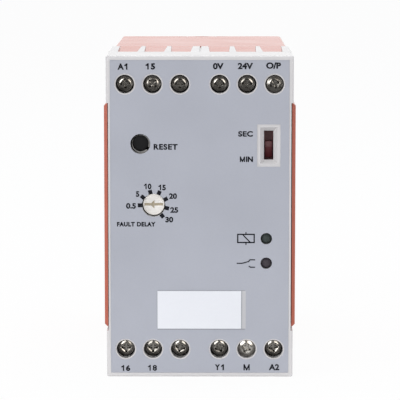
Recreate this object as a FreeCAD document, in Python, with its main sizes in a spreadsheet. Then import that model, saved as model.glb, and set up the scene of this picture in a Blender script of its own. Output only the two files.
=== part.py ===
import FreeCAD, Part
import math
import os
import re
import Sketcher

# A rail-mounted monitoring relay: a red moulded case, a grey front cover with a printed label,
# four terminal blocks of three ways, the controls behind the front and the circuit inside.
# X runs to the right, Y from the front to the rear and Z up. The rear face lies on y = 0.

Vector = FreeCAD.Vector
doc = FreeCAD.newDocument("monitoring_relay")
dims = doc.addObject("Spreadsheet::Sheet", "dims")

SIZES = {
    # Whole unit
    "unit_width": 52,
    "unit_height": 90,
    "unit_depth": 110,
    "fit_gap": 0.2,
    # Front cover
    "cover_wall": 2.2,
    "skirt_depth": 20,
    "waist_inset": 0.6,
    "waist_wall": 1.8,
    "edge_radius": 0.5,
    "post_dia": 4,
    "post_inset": 2.5,
    # Printed label and write-on panel
    "label_thick": 0.25,
    "label_recess": 0.2,
    "label_side_margin": 1.2,
    "label_end_margin": 1.2,
    "label_gap": 0.05,
    "label_screw_hole": 5.9,
    "panel_x": -0.1,
    "panel_rise": 19.03,
    "panel_width": 23.4,
    "panel_height": 10.65,
    "panel_thick": 0.2,
    # Case
    "terminal_zone": 13.5,
    "cheek_proud": 0.75,
    "cheek_setback": 5,
    "cheek_gap": 0.4,
    "cheek_chamfer": 0.7,
    "case_inset": 0.35,
    "case_wall": 2,
    "case_edge_radius": 1,
    "shoulder_depth": 50,
    "shelf_wall": 1.9,
    "base_thick": 8,
    "core_depth": 5.5,
    "core_wall": 2.2,
    "rib_width": 4,
    "ramp_low": 1.9,
    "tongue_gap": 0.05,
    # Rail channel and clips
    "rail_height": 35,
    "rail_gap": 0.3,
    "channel_depth": 6,
    "clip_width": 14,
    "clip_rib_width": 9,
    "clip_flange": 1.6,
    "clip_rib": 2.7,
    "clip_sunk": 0.3,
    "hook_reach": 2,
    "hook_lead": 3.2,
    "hook_nose": 0.4,
    "clip_hole": 4,
    "clip_hole_inset": 5,
    "clip_lip": 1,
    "clip_slot": 1.2,
    "clip_slot_depth": 2,
    # Terminals
    "terminal_inset": 5.5,
    "terminal_margin": 5.3,
    "row_inset": 7.85,
    "entry_width": 5.6,
    "entry_setback": 0.5,
    "fin_height": 3,
    "fin_draft": 0.4,
    "screw_hole": 5.2,
    "head_dia": 5,
    "head_thick": 2.2,
    "head_chamfer": 0.35,
    "cross_width": 0.9,
    "cross_span": 3.9,
    "cross_depth": 1.2,
    "shank_dia": 3,
    "shank_gap": 0.2,
    "thread_gap": 0.05,
    "tip_gap": 0.05,
    "tight_recess": 2.7,
    "output_backed_out": 1.3,
    "motor_backed_out": 0.9,
    "cage_width": 5.2,
    "cage_length": 8.8,
    "cage_height": 5.4,
    "cage_front_wall": 1.8,
    "cage_rear_wall": 1.4,
    "cage_side_wall": 0.9,
    "cage_gap": 0.1,
    "plate_thick": 0.8,
    "plate_height": 4.5,
    "plate_gap": 0.1,
    "tail_size": 1,
    "tail_gap": 0.2,
    "tail_end": 1.2,
    # Reset button
    "reset_margin": 9.54,
    "reset_drop": 10.96,
    "reset_hole": 5.55,
    "button_dia": 4.3,
    "button_recess": 3.4,
    "button_stem_dia": 3.4,
    "button_stroke": 0.5,
    "tact_size": 6.2,
    "tact_height": 3.6,
    # Delay dial
    "dial_margin": 13.18,
    "dial_z": 3.43,
    "dial_hole": 6.5,
    "knob_dia": 6,
    "knob_recess": 2.2,
    "knob_chamfer": 0.35,
    "knob_shaft_dia": 4,
    "shaft_gap": 0.08,
    "arrow_reach": 2.5,
    "arrow_head": 1.35,
    "arrow_wing": 0.9,
    "arrow_shaft": 0.3,
    "arrow_depth": 0.6,
    "pot_size": 10.4,
    "pot_height": 6,
    # Range switch
    "switch_margin": 6.85,
    "switch_drop": 11.4,
    "slot_width": 2.6,
    "slot_height": 8.1,
    "funnel_flare": 1.1,
    "funnel_depth": 1.4,
    "frame_width": 6.5,
    "frame_height": 11.8,
    "slider_width": 2.2,
    "slider_height": 4.9,
    "slider_recess": 3.6,
    "slider_travel": 2.9,
    "slider_ridge": 0.4,
    "slider_groove": 0.3,
    "switch_body_width": 6,
    "switch_body_height": 11.2,
    "switch_body_depth": 10.2,
    "switch_track_depth": 1.6,
    # Lamps
    "led_margin": 7.46,
    "power_led_z": -5.92,
    "relay_led_z": -12.81,
    "led_dia": 3,
    "led_hole": 3.2,
    "led_body": 4.6,
    "led_flange_dia": 3.8,
    "led_flange": 1,
    "lead_size": 0.5,
    "lead_pitch": 2.54,
    "spacer_dia": 4.6,
    "spacer_bore": 3.4,
    # Circuit boards
    "board_thick": 1.6,
    "control_board_depth": 15,
    "control_board_gap": 1.1,
    "control_board_drop": 1,
    "control_board_rise": 7,
    "main_board_setback": 0.3,
    "main_board_gap": 0.3,
    "tail_hole": 1.8,
    "link_ways": 8,
    "link_pitch": 2.54,
    "link_strip": 2.5,
    "link_pin": 0.64,
    "link_z": -18,
    # Transformer
    "core_width": 38,
    "core_length": 30,
    "core_stack": 14,
    "core_leg": 6.3,
    "core_stand": 3,
    "transformer_z": -16,
    "bobbin_wall": 0.8,
    "bobbin_flange": 1,
    "bobbin_height": 28,
    "winding_share": 0.55,
    "winding_cover": 0.6,
    # Relay and other components
    "relay_width": 29,
    "relay_height": 12.6,
    "relay_depth": 25.5,
    "relay_z": 23,
    "relay_radius": 0.8,
    "capacitor_dia": 12.5,
    "capacitor_length": 25,
    "capacitor_margin": 14,
    "capacitor_z": 6.8,
    "capacitor_bead": 0.6,
    "varistor_dia": 10,
    "varistor_thick": 4.2,
    "varistor_x": 12,
    "varistor_z": 8,
    "chip_width": 20,
    "chip_height": 6.4,
    "chip_depth": 3.4,
    "chip_z": 4,
    "chip_spacing": 12,
    "diode_count": 4,
    "diode_dia": 2.7,
    "diode_length": 5.2,
    "diode_pitch": 7,
    "diode_drop": 11,
    "resistor_count": 6,
    "resistor_dia": 2.4,
    "resistor_length": 6.4,
    "resistor_pitch": 5,
    "resistor_z": 10,
}

for row, (alias, value) in enumerate(SIZES.items(), start=1):
    dims.set(f"A{row}", alias)
    dims.set(f"B{row}", str(value))
    dims.setAlias(f"B{row}", alias)
doc.recompute()

# Formulas that several pieces share; depths are measured back from the front face
HALF_WIDTH = "unit_width / 2"
HALF_HEIGHT = "unit_height / 2"
WAIST = "(unit_width / 2 - waist_inset)"
CHEEK_OUTSIDE = "(unit_width / 2 + cheek_proud)"
CHEEK_INSIDE = "(unit_width / 2 - waist_inset + cheek_gap)"
CASE_SIDE = "(unit_width / 2 - case_inset)"
SHELF = "(unit_height / 2 - terminal_zone)"
SHELF_FRONT = "(skirt_depth + fit_gap)"
CHANNEL_EDGE = "(rail_height / 2 + rail_gap)"
PITCH = "((unit_width / 2 - terminal_inset - terminal_margin) / 2)"
SCREW_ROW = "(unit_height / 2 - row_inset)"
BLOCK_CENTRE = f"(terminal_inset + {PITCH})"
BLOCK_HALF = f"(unit_width / 2 - terminal_inset - {PITCH})"
BLOCK_TOP = "(unit_height / 2 - fin_height)"
BLOCK_REAR = "(shoulder_depth - fit_gap)"
BLOCK_FRONT = "(tight_recess + head_thick + fit_gap)"
CAGE_FRONT = "(skirt_depth + entry_setback + cage_gap)"
CAGE_REAR = "(skirt_depth + entry_setback + cage_gap + cage_length)"
PLATE_REAR = f"({CAGE_REAR} - cage_rear_wall - plate_gap)"
SCREW_TIP = f"({PLATE_REAR} - plate_thick - tip_gap)"
MAIN_BOARD_FRONT = "(shoulder_depth + main_board_setback)"
MAIN_BOARD_REAR = "(shoulder_depth + main_board_setback + board_thick)"
CONTROL_BOARD_REAR = "(control_board_depth + board_thick)"
CONTROL_BOARD_HALF = f"({WAIST} - waist_wall - control_board_gap)"
CONTROL_BOARD_TOP = f"({SHELF} - control_board_drop)"
CONTROL_BOARD_BOTTOM = f"(control_board_rise - {SHELF})"
RESET_X = "(reset_margin - unit_width / 2)"
RESET_Z = f"({SHELF} - reset_drop)"
DIAL_X = "(dial_margin - unit_width / 2)"
SWITCH_X = "(unit_width / 2 - switch_margin)"
SWITCH_Z = f"({SHELF} - switch_drop)"
LED_X = "(unit_width / 2 - led_margin)"
PANEL_Z = "(panel_rise - unit_height / 2)"
CAPACITOR_X = "(capacitor_margin - unit_width / 2)"

# The six terminal columns, counted outwards from the middle on both sides
COLUMNS = [
    f"-terminal_inset - 2 * {PITCH}",
    f"-terminal_inset - {PITCH}",
    "-terminal_inset",
    "terminal_inset",
    f"terminal_inset + {PITCH}",
    f"terminal_inset + 2 * {PITCH}",
]
ROWS = [SCREW_ROW, f"-{SCREW_ROW}"]

# How far each terminal screw is turned, in degrees, and backed out of its clamp
SCREW_STATES = [
    (-5, "0"),
    (45, "0"),
    (0, "0"),
    (0, "0"),
    (4, "0"),
    (-25, "output_backed_out"),
    (0, "0"),
    (2, "0"),
    (15, "0"),
    (-25, "0"),
    (25, "motor_backed_out"),
    (-8, "0"),
]

parts = []


def cell(formula):
    """Write a formula in sheet names the way the document's expressions spell them."""
    return re.sub(r"[a-z_]+", lambda word: "dims." + word.group(), formula)


def measure(formula):
    """The present value of a formula."""
    return float(dims.evalExpression(cell(formula)))


def fin_taper(depth):
    """How far the sides of a wire fin have drawn in at some depth behind the front face."""
    return f"fin_draft * ({depth} - {SHELF_FRONT}) / ({BLOCK_REAR} - {SHELF_FRONT})"


def height_at(depth):
    """Height above the rear face of a plane at some depth behind the front face."""
    return f"unit_depth - ({depth})"


def keep(piece, label):
    """Count an object as a finished sub-part under its own label."""
    piece.Label = label
    parts.append(piece)
    return piece


# Helpers for bodies that are drawn in sketches


def new_body(label):
    return keep(doc.addObject("PartDesign::Body", label), label)


def sketch(body, plane, raised):
    """A sketch parallel to an origin plane of the body, raised along its normal by a formula."""
    drawing = body.newObject("Sketcher::SketchObject", body.Name + "_sketch")
    support = next(item for item in body.Origin.OriginFeatures if item.Role == plane)
    drawing.AttachmentSupport = [(support, "")]
    drawing.MapMode = "FlatFace"
    drawing.setExpression("AttachmentOffset.Base.z", cell(raised))
    return drawing


def front_sketch(body, depth):
    """A sketch that faces the viewer, at some depth behind the front face."""
    return sketch(body, "XZ_Plane", height_at(depth))


def bind(drawing, constraint, formula):
    index = drawing.addConstraint(constraint)
    drawing.setExpression(f"Constraints[{index}]", cell(formula))


def pin_point(drawing, item, point, across, up):
    """Hold one point of a sketch element at two formulas from the sketch origin."""
    bind(drawing, Sketcher.Constraint("DistanceX", -1, 1, item, point, measure(across)), across)
    bind(drawing, Sketcher.Constraint("DistanceY", -1, 1, item, point, measure(up)), up)


def outline(drawing, corners):
    """A closed outline with straight sides through corners given as pairs of formulas."""
    first = drawing.GeometryCount
    count = len(corners)
    places = [Vector(measure(across), measure(up), 0) for across, up in corners]
    for side in range(count):
        line = Part.LineSegment(places[side], places[(side + 1) % count])
        drawing.addGeometry(line, False)
    for side in range(count):
        following = first + (side + 1) % count
        drawing.addConstraint(Sketcher.Constraint("Coincident", first + side, 2, following, 1))
    for side, (across, up) in enumerate(corners):
        pin_point(drawing, first + side, 1, across, up)


def rectangle(drawing, left, right, low, high):
    outline(drawing, [(left, low), (right, low), (right, high), (left, high)])


def circle(drawing, across, up, diameter):
    centre = Vector(measure(across), measure(up), 0)
    item = drawing.addGeometry(Part.Circle(centre, Vector(0, 0, 1), measure(diameter) / 2), False)
    pin_point(drawing, item, 3, across, up)
    bind(drawing, Sketcher.Constraint("Diameter", item, measure(diameter)), diameter)


def pad(body, drawing, length, sides="One side", backward=False):
    feature = body.newObject("PartDesign::Pad", body.Name + "_pad")
    feature.Profile = drawing
    feature.SideType = sides
    feature.Reversed = backward
    feature.setExpression("Length", cell(length))
    return feature


def pocket(body, drawing, length, sides="One side", backward=False):
    feature = body.newObject("PartDesign::Pocket", body.Name + "_pocket")
    feature.Profile = drawing
    feature.SideType = sides
    feature.Reversed = backward
    feature.setExpression("Length", cell(length))
    return feature


def revolve(body, drawing):
    """Turn an outline once round the sketch's horizontal axis."""
    feature = body.newObject("PartDesign::Revolution", body.Name + "_turned")
    feature.Profile = drawing
    feature.ReferenceAxis = (drawing, ["H_Axis"])
    feature.Angle = 360
    return feature


def dress(body, kind, size, chosen, value):
    """Round or bevel the edges of the body that a test picks out by their middle and direction."""
    doc.recompute()
    base = body.Tip
    names = []
    for number, edge in enumerate(base.Shape.Edges, start=1):
        middle = edge.valueAt((edge.FirstParameter + edge.LastParameter) / 2)
        along = edge.tangentAt(edge.FirstParameter)
        if chosen(middle, along):
            names.append(f"Edge{number}")
    if not names:
        raise RuntimeError(f"{body.Label}: no edge to dress")
    feature = body.newObject("PartDesign::" + kind, body.Name + "_" + kind.lower())
    feature.Base = (base, names)
    feature.setExpression(size, cell(value))
    return feature


def near(value, formula):
    return abs(value - measure(formula)) < 0.01


# Helpers for pieces that are built from solids


def box(name, left, right, front, back, low, high):
    """A box between pairs of formulas: across, in depth behind the front face, and upwards."""
    piece = doc.addObject("Part::Box", name)
    piece.setExpression("Length", cell(f"({right}) - ({left})"))
    piece.setExpression("Width", cell(f"({back}) - ({front})"))
    piece.setExpression("Height", cell(f"({high}) - ({low})"))
    piece.setExpression("Placement.Base.x", cell(left))
    piece.setExpression("Placement.Base.y", cell(f"({front}) - unit_depth"))
    piece.setExpression("Placement.Base.z", cell(low))
    return piece


def rod(name, x, z, diameter, front, back):
    """A cylinder that runs from one depth to another."""
    piece = doc.addObject("Part::Cylinder", name)
    piece.Placement = FreeCAD.Placement(Vector(), FreeCAD.Rotation(Vector(1, 0, 0), -90))
    piece.setExpression("Radius", cell(f"({diameter}) / 2"))
    piece.setExpression("Height", cell(f"({back}) - ({front})"))
    piece.setExpression("Placement.Base.x", cell(x))
    piece.setExpression("Placement.Base.y", cell(f"({front}) - unit_depth"))
    piece.setExpression("Placement.Base.z", cell(z))
    return piece


def cut(name, base, tool):
    piece = doc.addObject("Part::Cut", name)
    piece.Base = base
    piece.Tool = tool
    return piece


def fuse(name, solids):
    piece = doc.addObject("Part::MultiFuse", name)
    piece.Shapes = solids
    return piece


def group(name, solids):
    """Like pieces that share one sub-part and stay separate solids."""
    piece = doc.addObject("Part::Compound", name)
    piece.Links = solids
    return piece


# Case


def case_body():
    body = new_body("case_body")

    # Full-height rear box and the wider waist block that becomes the two cheeks
    drawing = sketch(body, "XZ_Plane", "0")
    rectangle(drawing, f"-{CASE_SIDE}", CASE_SIDE, f"-{HALF_HEIGHT}", HALF_HEIGHT)
    pad(body, drawing, height_at("shoulder_depth"))
    dress(body, "Fillet", "Radius", lambda middle, along: abs(along.y) > 0.9, "case_edge_radius")
    drawing = sketch(body, "XZ_Plane", "0")
    rectangle(drawing, f"-{CHEEK_OUTSIDE}", CHEEK_OUTSIDE, f"-{SHELF}", SHELF)
    pad(body, drawing, height_at("cheek_setback"))

    def cheek_edge(middle, along):
        return abs(along.y) > 0.9 and near(abs(middle.x), CHEEK_OUTSIDE)

    dress(body, "Chamfer", "Size", cheek_edge, "cheek_chamfer")

    # Hollow: between the cheeks, under the shelves, and the main circuit space
    drawing = front_sketch(body, "cheek_setback")
    rectangle(drawing, f"-{CHEEK_INSIDE}", CHEEK_INSIDE, f"-{HALF_HEIGHT}", HALF_HEIGHT)
    pocket(body, drawing, f"{SHELF_FRONT} - cheek_setback")
    drawing = front_sketch(body, SHELF_FRONT)
    inside = f"({CHEEK_OUTSIDE} - case_wall)"
    rectangle(drawing, f"-{inside}", inside, f"-({SHELF} - shelf_wall)", f"{SHELF} - shelf_wall")
    pocket(body, drawing, f"unit_depth - base_thick - {SHELF_FRONT}")
    drawing = front_sketch(body, "shoulder_depth")
    inside = f"({CASE_SIDE} - case_wall)"
    ceiling = f"({HALF_HEIGHT} - case_wall)"
    rectangle(drawing, f"-{inside}", inside, f"-{ceiling}", ceiling)
    pocket(body, drawing, "unit_depth - base_thick - shoulder_depth")

    # Corner ribs that carry the main board
    drawing = sketch(body, "XZ_Plane", "base_thick")
    for left, right in ((f"-{inside}", f"-{inside} + rib_width"), (f"{inside} - rib_width", inside)):
        rectangle(drawing, left, right, f"{ceiling} - rib_width", ceiling)
        rectangle(drawing, left, right, f"-{ceiling}", f"-{ceiling} + rib_width")
    pad(body, drawing, f"unit_depth - base_thick - {MAIN_BOARD_REAR}")

    # Wire ramps in front of the shoulder
    ramp_foot = f"({BLOCK_TOP} + fit_gap)"
    ramp_end = f"({CAGE_REAR} + entry_setback)"
    front_taper = fin_taper(CAGE_REAR)
    rear_taper = fin_taper("shoulder_depth")
    last_side = f"terminal_inset + 2 * {PITCH} + entry_width / 2 - tongue_gap"
    reach = f"({last_side} + {rear_taper})"
    for sign in ("", "-"):
        drawing = sketch(body, "YZ_Plane", "0")
        outline(drawing, [
            ("shoulder_depth - unit_depth + case_wall", f"{sign}{ramp_foot}"),
            ("shoulder_depth - unit_depth + case_wall", f"{sign}{HALF_HEIGHT}"),
            ("shoulder_depth - unit_depth", f"{sign}{HALF_HEIGHT}"),
            (f"{ramp_end} - unit_depth", f"{sign}({ramp_foot} + ramp_low)"),
            (f"{ramp_end} - unit_depth", f"{sign}{ramp_foot}"),
        ])
        pad(body, drawing, f"2 * {reach}", sides="Symmetric")

    # Gaps for the block fins, which leave a tongue at each way and narrow towards the rear
    front = f"{CAGE_REAR} - unit_depth"
    rear = "shoulder_depth - unit_depth"
    gap = f"(({PITCH} - entry_width) / 2 + tongue_gap)"
    gaps = [("0", "(terminal_inset - entry_width / 2 + tongue_gap)")]
    for side in ("", "-"):
        for step in ("0.5", "1.5"):
            gaps.append((f"{side}(terminal_inset + {step} * {PITCH})", gap))
    for level, upward in ((f"{HALF_HEIGHT} + fit_gap", False), (f"-{HALF_HEIGHT} - fit_gap", True)):
        drawing = sketch(body, "XY_Plane", level)
        for middle, half in gaps:
            outline(drawing, [
                (f"{middle} - {half} + {front_taper}", front),
                (f"{middle} + {half} - {front_taper}", front),
                (f"{middle} + {half} - {rear_taper}", rear),
                (f"{middle} - {half} + {rear_taper}", rear),
            ])
        for side in ("", "-"):
            outline(drawing, [
                (f"{side}({last_side} + {front_taper})", front),
                (f"{side}({reach} + fit_gap)", front),
                (f"{side}({reach} + fit_gap)", rear),
                (f"{side}{reach}", rear),
            ])
        pocket(body, drawing, "fin_height + fit_gap", backward=upward)

    # Rail channel across the rear, clip guides above and below it, and cored corners
    drawing = sketch(body, "XZ_Plane", "channel_depth")
    rectangle(drawing, f"-{CHEEK_OUTSIDE}", CHEEK_OUTSIDE, f"-{CHANNEL_EDGE}", CHANNEL_EDGE)
    pocket(body, drawing, "channel_depth")
    guide_floor = "clip_sunk + clip_rib + clip_flange + fit_gap"
    rib_room = "(clip_rib_width / 2 + fit_gap)"
    flange_room = "(clip_width / 2 + fit_gap)"
    drawing = sketch(body, "XZ_Plane", guide_floor)
    rectangle(drawing, f"-{rib_room}", rib_room, f"-{HALF_HEIGHT}", HALF_HEIGHT)
    pocket(body, drawing, guide_floor)
    drawing = sketch(body, "XZ_Plane", guide_floor)
    rectangle(drawing, f"-{flange_room}", flange_room, f"-{HALF_HEIGHT}", HALF_HEIGHT)
    pocket(body, drawing, "clip_flange + 2 * fit_gap")
    drawing = sketch(body, "XZ_Plane", "core_depth")
    inner = f"({flange_room} + core_wall)"
    outer = f"({CASE_SIDE} - core_wall)"
    low = f"({CHANNEL_EDGE} + core_wall)"
    high = f"({HALF_HEIGHT} - core_wall)"
    for left, right in ((inner, outer), (f"-{outer}", f"-{inner}")):
        rectangle(drawing, left, right, low, high)
        rectangle(drawing, left, right, f"-{high}", f"-{low}")
    pocket(body, drawing, "core_depth")


# Front cover and what is stuck on it


def screw_holes(drawing, diameter):
    for row in ROWS:
        for column in COLUMNS:
            circle(drawing, column, row, diameter)


def control_holes(drawing):
    circle(drawing, RESET_X, RESET_Z, "reset_hole")
    circle(drawing, DIAL_X, "dial_z", "dial_hole")
    circle(drawing, LED_X, "power_led_z", "led_hole")
    circle(drawing, LED_X, "relay_led_z", "led_hole")


def front_cover():
    body = new_body("front_cover")

    # Cap with a waist that slides in between the cheeks
    waist_end = f"({SHELF} + cheek_gap)"
    right_side = [
        (HALF_WIDTH, f"-{HALF_HEIGHT}"),
        (HALF_WIDTH, f"-{waist_end}"),
        (WAIST, f"-{waist_end}"),
        (WAIST, waist_end),
        (HALF_WIDTH, waist_end),
        (HALF_WIDTH, HALF_HEIGHT),
    ]
    left_side = [(f"-{across}", up) for across, up in reversed(right_side)]
    drawing = front_sketch(body, "skirt_depth")
    outline(drawing, right_side + left_side)
    pad(body, drawing, "skirt_depth")

    def outer_edge(middle, along):
        top = near(abs(middle.z), HALF_HEIGHT)
        side = near(abs(middle.x), HALF_WIDTH)
        front = near(middle.y, "-unit_depth")
        return (front and (top or side)) or (top and side)

    dress(body, "Fillet", "Radius", outer_edge, "edge_radius")
    inside = f"({WAIST} - waist_wall)"
    ceiling = f"({HALF_HEIGHT} - cover_wall)"
    drawing = front_sketch(body, "cover_wall")
    rectangle(drawing, f"-{inside}", inside, f"-{ceiling}", ceiling)
    pocket(body, drawing, "skirt_depth - cover_wall")

    # Posts that the control board is fixed to
    drawing = front_sketch(body, "cover_wall")
    for side in ("", "-"):
        for level in (f"{CONTROL_BOARD_TOP} - post_inset", f"{CONTROL_BOARD_BOTTOM} + post_inset"):
            circle(drawing, f"{side}({CONTROL_BOARD_HALF} - post_inset)", level, "post_dia")
    pad(body, drawing, "control_board_depth - cover_wall", backward=True)

    # Recess for the label, screw holes, control openings and the switch funnel
    drawing = front_sketch(body, "0")
    side = f"({HALF_WIDTH} - label_side_margin + label_gap)"
    end = f"({HALF_HEIGHT} - label_end_margin + label_gap)"
    rectangle(drawing, f"-{side}", side, f"-{end}", end)
    pocket(body, drawing, "label_recess")
    drawing = front_sketch(body, "0")
    screw_holes(drawing, "screw_hole")
    control_holes(drawing)
    pocket(body, drawing, "cover_wall")
    mouth = front_sketch(body, "label_recess")
    half_slot = "(slot_width / 2)"
    half_rise = "(slot_height / 2)"
    rectangle(
        mouth,
        f"{SWITCH_X} - {half_slot} - funnel_flare",
        f"{SWITCH_X} + {half_slot} + funnel_flare",
        f"{SWITCH_Z} - {half_rise} - funnel_flare",
        f"{SWITCH_Z} + {half_rise} + funnel_flare",
    )
    throat = front_sketch(body, "label_recess + funnel_depth")
    for drawing in (throat, front_sketch(body, "label_recess")):
        rectangle(
            drawing,
            f"{SWITCH_X} - {half_slot}",
            f"{SWITCH_X} + {half_slot}",
            f"{SWITCH_Z} - {half_rise}",
            f"{SWITCH_Z} + {half_rise}",
        )
    funnel = body.newObject("PartDesign::SubtractiveLoft", "switch_funnel")
    funnel.Profile = mouth
    funnel.Sections = [throat]
    pocket(body, drawing, "cover_wall - label_recess")


def front_label():
    body = new_body("front_label")
    drawing = front_sketch(body, "label_recess")
    side = f"({HALF_WIDTH} - label_side_margin)"
    end = f"({HALF_HEIGHT} - label_end_margin)"
    rectangle(drawing, f"-{side}", side, f"-{end}", end)
    screw_holes(drawing, "label_screw_hole")
    control_holes(drawing)
    rectangle(
        drawing,
        f"{SWITCH_X} - frame_width / 2",
        f"{SWITCH_X} + frame_width / 2",
        f"{SWITCH_Z} - frame_height / 2",
        f"{SWITCH_Z} + frame_height / 2",
    )
    pad(body, drawing, "label_thick")


def marker_panel():
    label_front = "label_recess - label_thick"
    panel = box(
        "marker_panel",
        "panel_x - panel_width / 2",
        "panel_x + panel_width / 2",
        f"{label_front} - panel_thick",
        label_front,
        f"{PANEL_Z} - panel_height / 2",
        f"{PANEL_Z} + panel_height / 2",
    )
    keep(panel, "marker_panel")


# Terminals


def terminal_block(label, side, over):
    """Three-way moulded block, drawn for the top row and turned over for the bottom row."""
    body = new_body(label)
    ways = [f"-{PITCH}", "0", PITCH]

    # Rear part beside the case ramps, front part inside the cover, and the tapered wire fins
    drawing = front_sketch(body, BLOCK_REAR)
    rectangle(drawing, f"-{BLOCK_HALF}", BLOCK_HALF, SHELF, BLOCK_TOP)
    pad(body, drawing, f"{BLOCK_REAR} - {SHELF_FRONT}")
    drawing = front_sketch(body, SHELF_FRONT)
    front_half = f"({WAIST} - waist_wall - fit_gap - {BLOCK_CENTRE})"
    front_top = f"{HALF_HEIGHT} - cover_wall - fit_gap"
    rectangle(drawing, f"-{front_half}", front_half, SHELF, front_top)
    pad(body, drawing, f"{SHELF_FRONT} - {BLOCK_FRONT}")
    drawing = sketch(body, "XY_Plane", f"{BLOCK_TOP} - fit_gap")
    front = f"{SHELF_FRONT} - unit_depth"
    rear = f"{BLOCK_REAR} - unit_depth"
    edges = [(f"-{BLOCK_HALF}", f"-{BLOCK_HALF}")]
    for way in ways:
        edges.append((f"{way} - entry_width / 2", f"{way} - entry_width / 2 - fin_draft"))
        edges.append((f"{way} + entry_width / 2", f"{way} + entry_width / 2 + fin_draft"))
    edges.append((BLOCK_HALF, BLOCK_HALF))
    for left, right in zip(edges[::2], edges[1::2]):
        outline(drawing, [(left[0], front), (right[0], front), (right[1], rear), (left[1], rear)])
    pad(body, drawing, "fin_height + fit_gap")

    # Shank bores, clamp chambers open to the top and channels for the solder tails
    bores = front_sketch(body, BLOCK_FRONT)
    chambers = sketch(body, "XY_Plane", BLOCK_TOP)
    tails = front_sketch(body, CAGE_REAR)
    chamber_half = "(cage_width / 2 + cage_gap)"
    tail_half = "(tail_size / 2 + tail_gap)"
    for way in ways:
        circle(bores, way, SCREW_ROW, "shank_dia + 2 * shank_gap")
        rectangle(
            chambers,
            f"{way} - {chamber_half}",
            f"{way} + {chamber_half}",
            f"{CAGE_FRONT} - cage_gap - unit_depth",
            f"{CAGE_REAR} + cage_gap - unit_depth",
        )
        rectangle(
            tails,
            f"{way} - {tail_half}",
            f"{way} + {tail_half}",
            f"{SCREW_ROW} - {tail_half}",
            f"{SCREW_ROW} + {tail_half}",
        )
    pocket(body, bores, f"{CAGE_FRONT} - {BLOCK_FRONT}")
    pocket(body, chambers, f"{BLOCK_TOP} - {SCREW_ROW} + cage_height / 2 + cage_gap")
    pocket(body, tails, f"{BLOCK_REAR} - {CAGE_REAR}")

    turn = FreeCAD.Rotation(Vector(0, 1, 0), 180 if over else 0)
    body.Placement = FreeCAD.Placement(Vector(), turn)
    body.setExpression("Placement.Base.x", cell(f"{side}{BLOCK_CENTRE}"))


def terminal_cages():
    """Brass clamp frames with a threaded front wall and a tail that is soldered to the main board."""
    cages = []
    for row in ROWS:
        for column in COLUMNS:
            name = f"cage_{len(cages) + 1}"
            frame = box(
                name + "_frame",
                f"{column} - cage_width / 2",
                f"{column} + cage_width / 2",
                CAGE_FRONT,
                CAGE_REAR,
                f"{row} - cage_height / 2",
                f"{row} + cage_height / 2",
            )
            window = box(
                name + "_window",
                f"{column} - cage_width / 2 + cage_side_wall",
                f"{column} + cage_width / 2 - cage_side_wall",
                f"{CAGE_FRONT} + cage_front_wall",
                f"{CAGE_REAR} - cage_rear_wall",
                f"{row} - cage_height",
                f"{row} + cage_height",
            )
            thread = rod(
                name + "_thread",
                column,
                row,
                "shank_dia + 2 * thread_gap",
                f"{CAGE_FRONT} - fit_gap",
                f"{CAGE_FRONT} + cage_front_wall + fit_gap",
            )
            tail = box(
                name + "_tail",
                f"{column} - tail_size / 2",
                f"{column} + tail_size / 2",
                f"{CAGE_REAR} - cage_rear_wall",
                f"{MAIN_BOARD_REAR} + tail_end",
                f"{row} - tail_size / 2",
                f"{row} + tail_size / 2",
            )
            open_frame = cut(name + "_open", cut(name + "_ring", frame, window), thread)
            cages.append(fuse(name, [open_frame, tail]))
    keep(group("terminal_cages", cages), "terminal_cages")


def terminal_screw(number, column, row, turned, backed_out):
    body = new_body(f"terminal_screw_{number:02d}")
    drawing = sketch(body, "YZ_Plane", "0")
    tip = f"{SCREW_TIP} - tight_recess"
    outline(drawing, [
        ("0", "0"),
        ("0", "head_dia / 2 - head_chamfer"),
        ("head_chamfer", "head_dia / 2"),
        ("head_thick", "head_dia / 2"),
        ("head_thick", "shank_dia / 2"),
        (tip, "shank_dia / 2"),
        (tip, "0"),
    ])
    revolve(body, drawing)
    drawing = sketch(body, "XZ_Plane", "0")
    arm = "cross_span / 2"
    half = "cross_width / 2"
    quarter = [(half, arm), (half, half), (arm, half)]
    lower = [(across, f"-{up}") for across, up in reversed(quarter)]
    right_half = quarter + lower
    left_half = [(f"-{across}", up) for across, up in reversed(right_half)]
    outline(drawing, right_half + left_half)
    pocket(body, drawing, "cross_depth")
    body.Placement = FreeCAD.Placement(Vector(), FreeCAD.Rotation(Vector(0, 1, 0), turned))
    body.setExpression("Placement.Base.x", cell(column))
    body.setExpression("Placement.Base.y", cell(f"tight_recess - ({backed_out}) - unit_depth"))
    body.setExpression("Placement.Base.z", cell(row))


def clamp_plate(number, column, row, backed_out):
    """Pressure plate that the screw tip drives against the wire."""
    half = "(cage_width / 2 - cage_side_wall - plate_gap)"
    plate = box(
        f"clamp_plate_{number:02d}",
        f"{column} - {half}",
        f"{column} + {half}",
        f"{PLATE_REAR} - plate_thick - {backed_out}",
        f"{PLATE_REAR} - {backed_out}",
        f"{row} - plate_height / 2",
        f"{row} + plate_height / 2",
    )
    keep(plate, f"clamp_plate_{number:02d}")


def terminals():
    terminal_block("terminal_block_top_left", "-", False)
    terminal_block("terminal_block_top_right", "", False)
    terminal_block("terminal_block_bottom_left", "-", True)
    terminal_block("terminal_block_bottom_right", "", True)
    terminal_cages()
    spots = [(column, row) for row in ROWS for column in COLUMNS]
    for number, (spot, state) in enumerate(zip(spots, SCREW_STATES), start=1):
        column, row = spot
        turned, backed_out = state
        terminal_screw(number, column, row, turned, backed_out)
        clamp_plate(number, column, row, backed_out)


# Controls on the front


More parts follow.
